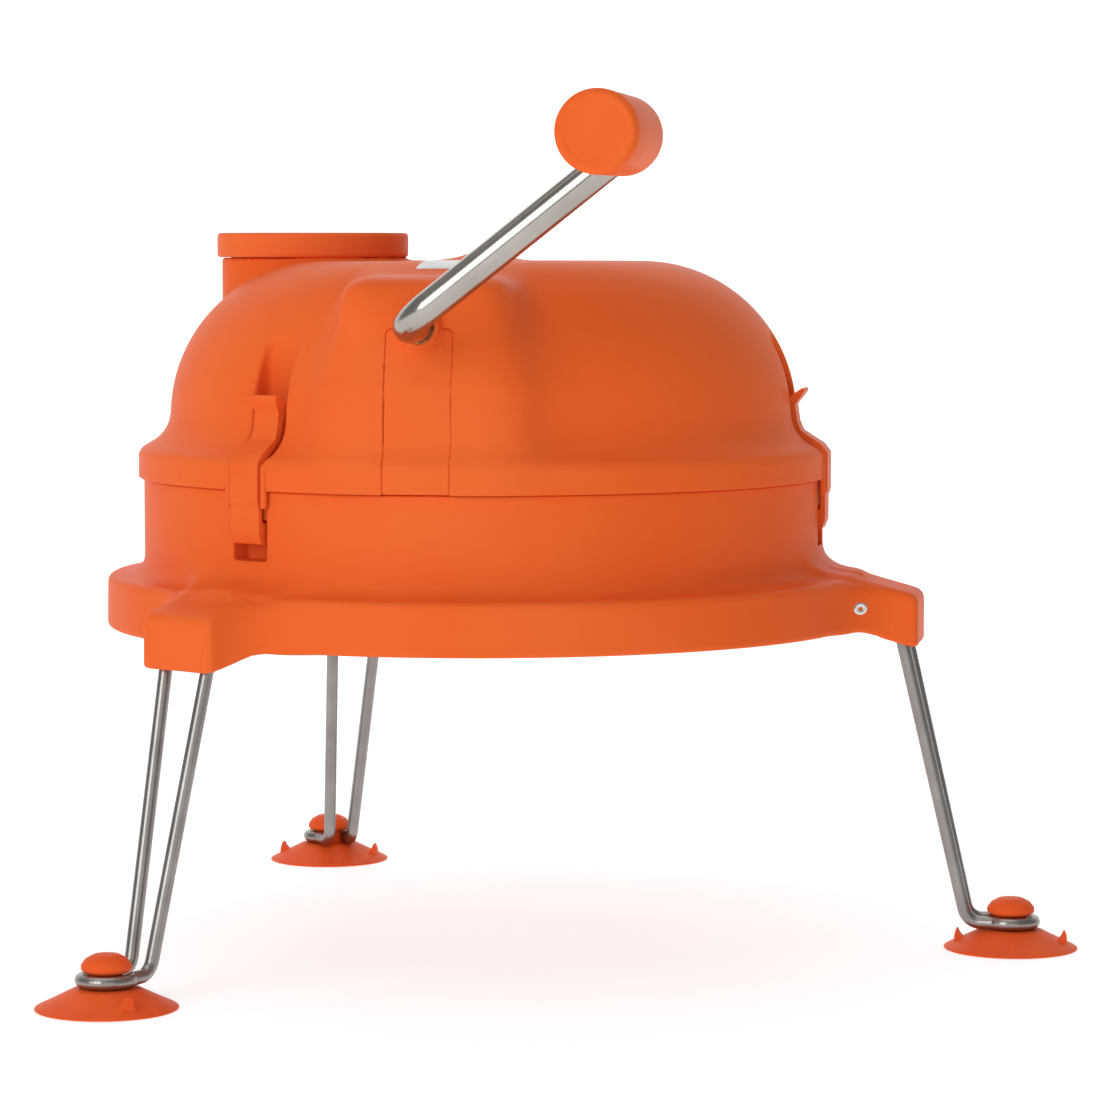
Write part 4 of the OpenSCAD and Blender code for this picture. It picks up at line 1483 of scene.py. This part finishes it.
@dataclass
class Crank:
    """The bent tube of the crank."""

    kit: Kit
    radius: float = 7.0
    length: float = 129.0
    angle: float = 38.2
    arm_y: float = 189.0
    bend: float = 14.5
    shaft_z: float = 291.0
    shaft_end: float = 20.0
    tip: float = 296.0

    def turn(self, p: Vector) -> Vector:
        """Turns a point of the flat layout to the crank's angle at rest."""
        c, s = heading(self.angle)
        return Vector((p.x * c, p.y, p.x * s + self.shaft_z))

    def build(self) -> None:
        """Makes the tube, slightly flattened and creased where it is bent."""
        corners = [(0, -self.shaft_end, 0), (0, -self.arm_y, 0),
                   (self.length, -self.arm_y, 0), (self.length, -self.tip, 0)]
        flat = rounded(corners, self.bend, steps=18)
        path = [self.turn(p) for p in flat]
        first = self.arm_y - self.shaft_end - self.bend
        arc = self.bend * math.pi / 2
        outside = self.turn(Vector((-1, -1, 0))) - self.turn(Vector((0, 0, 0)))
        outside.normalize()

        def bent(along: float, _angle: float, out: Vector) -> float:
            """Radius of the tube, less on the outside of the first bend and rippled inside it.

            Args:
                along: distance along the tube.
                _angle: angle round it, not used.
                out: direction away from its middle.

            Returns:
                The radius.
            """
            t = (along - first) / arc
            if not -0.4 < t < 1.6:
                return self.radius
            press = max(0.0, math.sin(math.pi * (t + 0.4) / 2.0))
            facing = out.dot(outside)
            squash = 0.09 * press * max(0.0, facing)
            ripple = 0.018 * math.sin(t * 22.0) * press * max(0.0, -facing)
            return self.radius * (1.0 - squash + ripple)

        tube = sweep("crank_bend", path, self.radius, self.kit.place, 40, bent)
        self.kit.fit(tube, "crank", "polished_tube", "crank_tube")


@dataclass
class Knob:
    """The knob that turns on the end of the crank."""

    kit: Kit
    crank: Crank
    radius: float = 17.0
    taper: float = 0.5
    back: float = 229.0
    front: float = 303.0

    def build(self) -> None:
        """Makes the grip and its end cap."""
        at = self.crank.turn(Vector((self.crank.length, 0, 0)))
        centre = np.array([at.x, 0.0, at.z])
        seam = self.front - 4.0
        r, place = self.radius, self.kit.place
        slim = r - self.taper
        grip = lathe("knob_grip_skin", [
            (7.1, self.back), (slim - 2.0, self.back), (slim, self.back + 2.6), (r - 0.02, seam - 0.3),
            (r - 0.35, seam), (13.0, seam), (13.0, self.front - 11.0), (7.1, self.front - 11.0),
        ], centre, place, 1.2, 128, (0, -1, 0))
        self.kit.fit(grip, "knob", "orange_knob", "knob_grip")
        cap = lathe("knob_cap_skin", [
            (0, seam - 0.2), (10.4, seam - 0.2), (10.4, seam - 3.4), (12.8, seam - 3.4),
            (12.8, seam + 0.05), (r - 0.35, seam + 0.05), (r, seam + 0.35), (r - 0.1, self.front - 1.9),
            (r - 2.0, self.front - 0.05), (r - 3.4, self.front), (r - 4.4, self.front - 0.22),
            (0, self.front - 0.28),
        ], centre, place, 0.8, 128, (0, -1, 0))
        self.kit.fit(cap, "knob", "orange_knob", "knob_cap")


@dataclass
class Pusher:
    """The cap on the pusher in the feed tube."""

    kit: Kit
    cover: CoverShape
    radius: float = 45.9
    low: float = 320.3
    top: float = 332.0

    def build(self) -> None:
        """Makes the cap with its rolled edge and shallow top."""
        centre = np.array([self.cover.feed_x, self.cover.feed_y, 0.0])
        r, low, top = self.radius, self.low, self.top
        profile = [(0, low), (34.2, low), (34.2, low - 8.0), (36.8, low - 8.0), (36.8, low), (r - 0.6, low),
                   (r, low + 1.6), (r, top - 1.6), (r - 0.7, top), (r - 5.0, top), (r - 7.0, top - 0.9),
                   (0, top - 1.1)]
        cap = lathe("pusher_cap_skin", profile, centre, self.kit.place, 1.6, 160)
        self.kit.fit(cap, "pusher", "orange_pusher", "pusher_cap")


@dataclass
class Latch:
    """One spring latch: hook below, finger tab on top."""

    kit: Kit
    station: Station
    body_half: float = 8.5
    neck_half: float = 7.3
    tab_half: float = 9.6

    def half_width(self, _r: float, z: float) -> float:
        """Half width at a height: full at the body, narrow at the neck, wide at the tab.

        Args:
            _r: distance from the axis, not used.
            z: height.

        Returns:
            The half width.
        """
        return float(np.interp(z, (194, 236, 243, 253, 255.5, 262),
                               (self.body_half, self.body_half, self.neck_half, self.neck_half,
                                self.tab_half, self.tab_half)))

    def build(self) -> None:
        """Makes the latch from its side view."""
        corners = [
            (155.9, 196.5), (158.4, 194.2), (160.6, 194.6), (162.2, 199.0), (162.3, 210.5),
            (163.3, 213.0), (163.3, 230.4), (160.4, 234.2), (150.8, 240.4), (149.0, 244.8),
            (147.9, 252.4), (152.7, 258.9), (151.7, 260.5), (145.6, 256.4), (145.0, 251.0),
            (145.3, 244.2), (147.2, 240.4), (157.4, 231.2), (157.5, 220.9), (160.0, 217.9),
            (160.0, 203.6), (155.9, 204.2),
        ]
        outline = rounded(corners, 1.6, closed=True, steps=4)
        word = self.station.word
        piece = slab(f"latch_{word}_skin", outline, self.half_width, self.station.value,
                     self.kit.place, 0.55)
        self.kit.fit(piece, f"latch_{word}", "orange_latch", f"latch_{word}")


@dataclass
class Leg:
    """One folding leg: a hairpin of wire, its cross pin and its suction cup."""

    kit: Kit
    station: Station
    tab_turn: float
    wire_r: float = 3.0
    pin_r: float = 181.0
    pin_z: float = 160.0
    gap: float = 13.25
    ankle_gap: float = 6.0
    foot_r: float = 249.0
    loop_z: float = 12.5
    loop_r: float = 10.6
    cup_r: float = 31.0
    arm_half: float = 19.0
    base: BaseShape = field(default_factory=BaseShape)

    def spot(self, u: float, v: float, z: float) -> Vector:
        """A point given along, across and above, turned to the leg's station."""
        c, s = heading(self.station.value)
        return Vector((u * c - v * s, u * s + v * c, z))

    def build(self) -> None:
        """Makes the wire, the pin and the cup."""
        word = self.station.word
        body = f"leg_{word}"
        self.kit.fit(self.wire(), body, "leg_wire", f"leg_wire_{word}")
        self.kit.fit(self.pin(), "base", "pin_steel", f"leg_pin_{word}")
        self.kit.fit(self.cup(), body, "cup_rubber", f"suction_cup_{word}")

    def wire(self) -> bpy.types.Object:
        """Bends the hairpin: down one side, round the cup's neck and up the other.

        Returns:
            The wire.
        """
        down = [(self.pin_r + 3.2, self.gap, self.pin_z - 1.0), (self.pin_r + 15.3, self.gap, 155.0),
                (229.1, self.ankle_gap, self.loop_z)]
        turns = [math.radians(a) for a in range(132, -133, -12)]
        loop = [(self.foot_r + self.loop_r * math.cos(t), self.loop_r * math.sin(t), self.loop_z)
                for t in turns]
        up = [(u, -v, z) for u, v, z in reversed(down)]
        bends = [0, 5.0, 9.0] + [3.0] * len(loop) + [9.0, 5.0, 0]
        corners = [self.spot(*p) for p in down + loop + up]
        hairpin = sweep(f"wire_{self.station.word}_skin", rounded(corners, bends, steps=8),
                        self.wire_r, self.kit.place, 24)
        eyes = []
        for side in (-1, 1):
            across = self.spot(0, side, 0)
            centre = np.array(self.spot(self.pin_r, side * self.gap - side * 2.6, self.pin_z))
            eyes.append(lathe(f"eye_{side}", [(3.15, 0), (6.2, 0), (6.2, 5.2), (3.15, 5.2)], centre,
                              self.kit.place, 1.6, 40, tuple(across)))
        return join(f"leg_wire_{self.station.word}_skin", [hairpin] + eyes)

    def pin(self) -> bpy.types.Object:
        """Turns the cross pin, flush at one side of the arm and blind at the other.

        Returns:
            The pin.
        """
        head, end = -30.0, self.arm_half - 1.25
        profile = [(0, head + 0.4), (0.8, head + 0.35), (1.3, head + 0.05), (2.2, head + 0.02),
                   (2.75, head + 0.2), (2.97, head + 0.6), (2.97, -self.arm_half), (2.97, end - 0.3),
                   (2.7, end), (0, end)]
        centre = np.array(self.spot(self.pin_r, 0, self.pin_z))
        along, across = (np.array(self.spot(*axis)) for axis in ((1, 0, 0), (0, 1, 0)))
        pin = lathe(f"leg_pin_{self.station.word}_skin", profile, centre, self.kit.place, 0.2, 48,
                    tuple(across))
        start = self.kit.place.world(centre[None, :])[0]
        spots = np.array([vertex.co for vertex in pin.data.vertices])
        off = (spots - start) / MM
        reach = -self.side(self.pin_r + off @ along, self.pin_z + off[:, 2]) - 0.3 - head
        moved = np.where(off @ across < -self.arm_half - 1.0, reach, 0.0)
        spots += np.outer(moved * MM, across)
        pin.data.vertices.foreach_set("co", spots.ravel())
        return pin

    def side(self, u: np.ndarray, z: np.ndarray) -> np.ndarray:
        """Half width of an arm at points along and above it.

        Args:
            u: distances from the main axis.
            z: heights.

        Returns:
            The half widths.
        """
        return halved(lambda v: self.base.open_body(u, -v, z, True) < 0, 12.0, 48.0, len(u))

    def cup(self) -> bpy.types.Object:
        """Moulds the cup: button, neck, cone, sealing lip and two pull tabs.

        Returns:
            The cup.
        """
        r = self.cup_r
        profile = [(0, 6.5), (6.0, 6.2), (16.0, 3.4), (r - 2.4, 0.0), (r - 0.1, 0.0), (r, 0.5),
                   (r - 1.2, 1.2), (24.0, 3.9), (14.8, 8.5), (12.0, 9.2), (7.2, 9.3), (7.0, 15.6),
                   (9.4, 15.8), (11.0, 17.2), (10.8, 19.2), (9.0, 21.6), (5.6, 23.4), (0, 24.0)]
        centre = np.array(self.spot(self.foot_r, 0, 0))
        body = lathe(f"cup_{self.station.word}_body", profile, centre, self.kit.place, 1.2, 128)
        angle = self.station.value + self.tab_turn
        tabs = [self.tab(angle + turn, centre) for turn in (0.0, 180.0)]
        return join(f"suction_cup_{self.station.word}_skin", [body] + tabs)

    def tab(self, angle: float, centre: np.ndarray) -> bpy.types.Object:
        """Moulds one small pointed tab on the cone.

        Args:
            angle: its direction from the cup's middle.
            centre: the cup's middle.

        Returns:
            The tab.
        """
        corners = [(21.6, 4.3), (26.2, 2.0), (25.9, 6.2), (25.1, 8.7), (24.4, 8.7), (23.4, 6.4)]
        outline = rounded(corners, 0.5, closed=True, steps=3)
        verts, faces = side_plate(outline, self.tab_width, angle, centre)
        return mesh_object("tab", self.kit.place.world(verts), faces)

    @staticmethod
    def tab_width(_r: float, z: float) -> float:
        """Half width of a tab, which narrows towards its tip."""
        return float(np.interp(z, (2.0, 8.7), (3.4, 1.5)))


@dataclass
class GratingDisc:
    """The raised cutting lips round the holes of the disc."""

    kit: Kit
    rings: int = 5
    first: float = 48.0
    step: float = 19.0
    hole: float = 4.2
    top: float = 225.2

    def build(self) -> None:
        """Raises a flared lip round each hole."""
        profile = [Vector((self.hole + 1.5, 0, 0)), Vector((self.hole + 0.7, 0.5, 0)),
                   Vector((self.hole + 0.15, 1.35, 0)), Vector((self.hole - 0.1, 1.35, 0)),
                   Vector((self.hole + 0.05, 0.0, 0))]
        ring, ring_faces = lathe_mesh(profile, 18)
        verts, faces = [], []
        for k in range(self.rings):
            count = 12 + 3 * k
            for i in range(count):
                a = math.radians((i + k / 2) * 360 / count)
                r = self.first + self.step * k
                start = sum(len(v) for v in verts)
                verts.append(ring + np.array([r * math.cos(a), r * math.sin(a), self.top]))
                faces += [tuple(start + n for n in f) for f in ring_faces]
        lips = mesh_object("disc_lips", self.kit.place.world(np.concatenate(verts)), faces)
        tidy_normals(lips)
        self.kit.fit(lips, "disc", "disc_steel")


# ---------------------------------------------------------------------------
# Studio
# ---------------------------------------------------------------------------


@dataclass
class Studio:
    """Floor, lights and camera."""

    place: Place
    azimuth: float = 10.6
    distance: float = 1912.0
    height: float = 327.0
    pitch: float = 4.4
    yaw: float = 1.01
    lens: float = 131.5
    sensor: float = 36.0

    def build(self) -> None:
        """Sets the studio up."""
        self.floor()
        self.lights()
        self.camera()

    def floor(self) -> None:
        """Lays a pale sheet that curves up behind the object."""
        width, depth, front, rise, radius = 7.0, 3.0, -4.0, 4.5, 1.4
        arc = [(depth + radius * math.sin(a), radius * (1 - math.cos(a)))
               for a in np.linspace(0, math.pi / 2, 16)]
        line = [(front, 0.0)] + arc + [(depth + radius, rise)]
        turn = Matrix.Rotation(math.radians(self.azimuth), 3, "Z")
        verts = [turn @ Vector((x, y, z - 0.0002)) for y, z in line for x in (-width, width)]
        faces = [(2 * i, 2 * i + 1, 2 * i + 3, 2 * i + 2) for i in range(len(line) - 1)]
        sheet = mesh_object("studio_sheet", np.array([tuple(v) for v in verts]), faces)
        material = bpy.data.materials.new("pale_paper")
        material.use_nodes = True
        shader = material.node_tree.nodes["Principled BSDF"]
        shader.inputs["Base Color"].default_value = (0.60, 0.60, 0.60, 1.0)
        shader.inputs["Roughness"].default_value = 0.9
        shader.inputs["Emission Color"].default_value = (1.0, 1.0, 1.0, 1.0)
        shader.inputs["Emission Strength"].default_value = 0.60
        sheet.data.materials.append(material)

    def light(self, name: str, at: tuple[float, float, float], size: float, power: float,
              aim: tuple[float, float, float] = (0.0, 0.0, 0.22)) -> None:
        """Hangs one soft square lamp.

        Args:
            name: the lamp's name.
            at: its place in metres about the axis, as seen from the camera: right, away, up.
            size: its side, in metres.
            power: its power, in watts.
            aim: what it points at.
        """
        data = bpy.data.lights.new(name, "AREA")
        data.shape, data.size, data.energy = "SQUARE", size, power
        lamp = bpy.data.objects.new(name, data)
        bpy.context.scene.collection.objects.link(lamp)
        lamp.location = Matrix.Rotation(math.radians(self.azimuth), 3, "Z") @ Vector(at)
        lamp.rotation_euler = (Vector(aim) - lamp.location).to_track_quat("-Z", "Y").to_euler()

    def lights(self) -> None:
        """Lights the object softly from the front left, with fill all round."""
        world = bpy.data.worlds.new("studio")
        bpy.context.scene.world = world
        world.use_nodes = True
        shade = world.node_tree.nodes["Background"]
        shade.inputs["Color"].default_value = (1.0, 1.0, 1.0, 1.0)
        shade.inputs["Strength"].default_value = 0.28
        self.light("key", (-1.6, -2.1, 1.1), 1.4, 24.0)
        self.light("front_fill", (0.5, -2.7, 0.5), 1.8, 7.5)
        self.light("top", (-0.5, -0.2, 2.6), 2.6, 19.0)
        self.light("paper_wash", (0.0, 2.2, 2.6), 3.0, 60.0, (0.0, 4.0, 0.8))
        bpy.context.scene.view_settings.view_transform = "Standard"

    def camera(self) -> None:
        """Stands the camera in front of the object, a little to its right."""
        a, p, w = (math.radians(v) for v in (self.azimuth, self.pitch, self.yaw))
        ahead, right = Vector((-math.sin(a), math.cos(a), 0)), Vector((math.cos(a), math.sin(a), 0))
        level = math.cos(w) * ahead + math.sin(w) * right
        aim = math.cos(p) * level - math.sin(p) * Vector((0, 0, 1))
        data = bpy.data.cameras.new("camera")
        data.sensor_width, data.lens = self.sensor, self.lens
        camera = bpy.data.objects.new("camera", data)
        bpy.context.scene.collection.objects.link(camera)
        camera.location = self.place.vector(self.distance * math.sin(a), -self.distance * math.cos(a),
                                            self.height)
        camera.rotation_euler = aim.to_track_quat("-Z", "Y").to_euler()
        bpy.context.scene.camera = camera


def main() -> None:
    """Builds the grater, piece by piece, and the studio round it."""
    logging.basicConfig(level=logging.INFO, format="%(name)s: %(message)s")
    place = Place.from_frame()
    kit = Kit(place)
    kit.paint_all()
    cover = Cover(kit)
    cover.build()
    Base(kit).build()
    Bracket(kit).build()
    crank = Crank(kit)
    crank.build()
    Knob(kit, crank).build()
    Pusher(kit, cover.shape).build()
    for station, tab_turn in zip(Station, (0.0, 60.0, 67.0)):
        Latch(kit, station).build()
        Leg(kit, station, tab_turn).build()
    GratingDisc(kit).build()
    Studio(place).build()


if __name__ == "__main__":
    main()
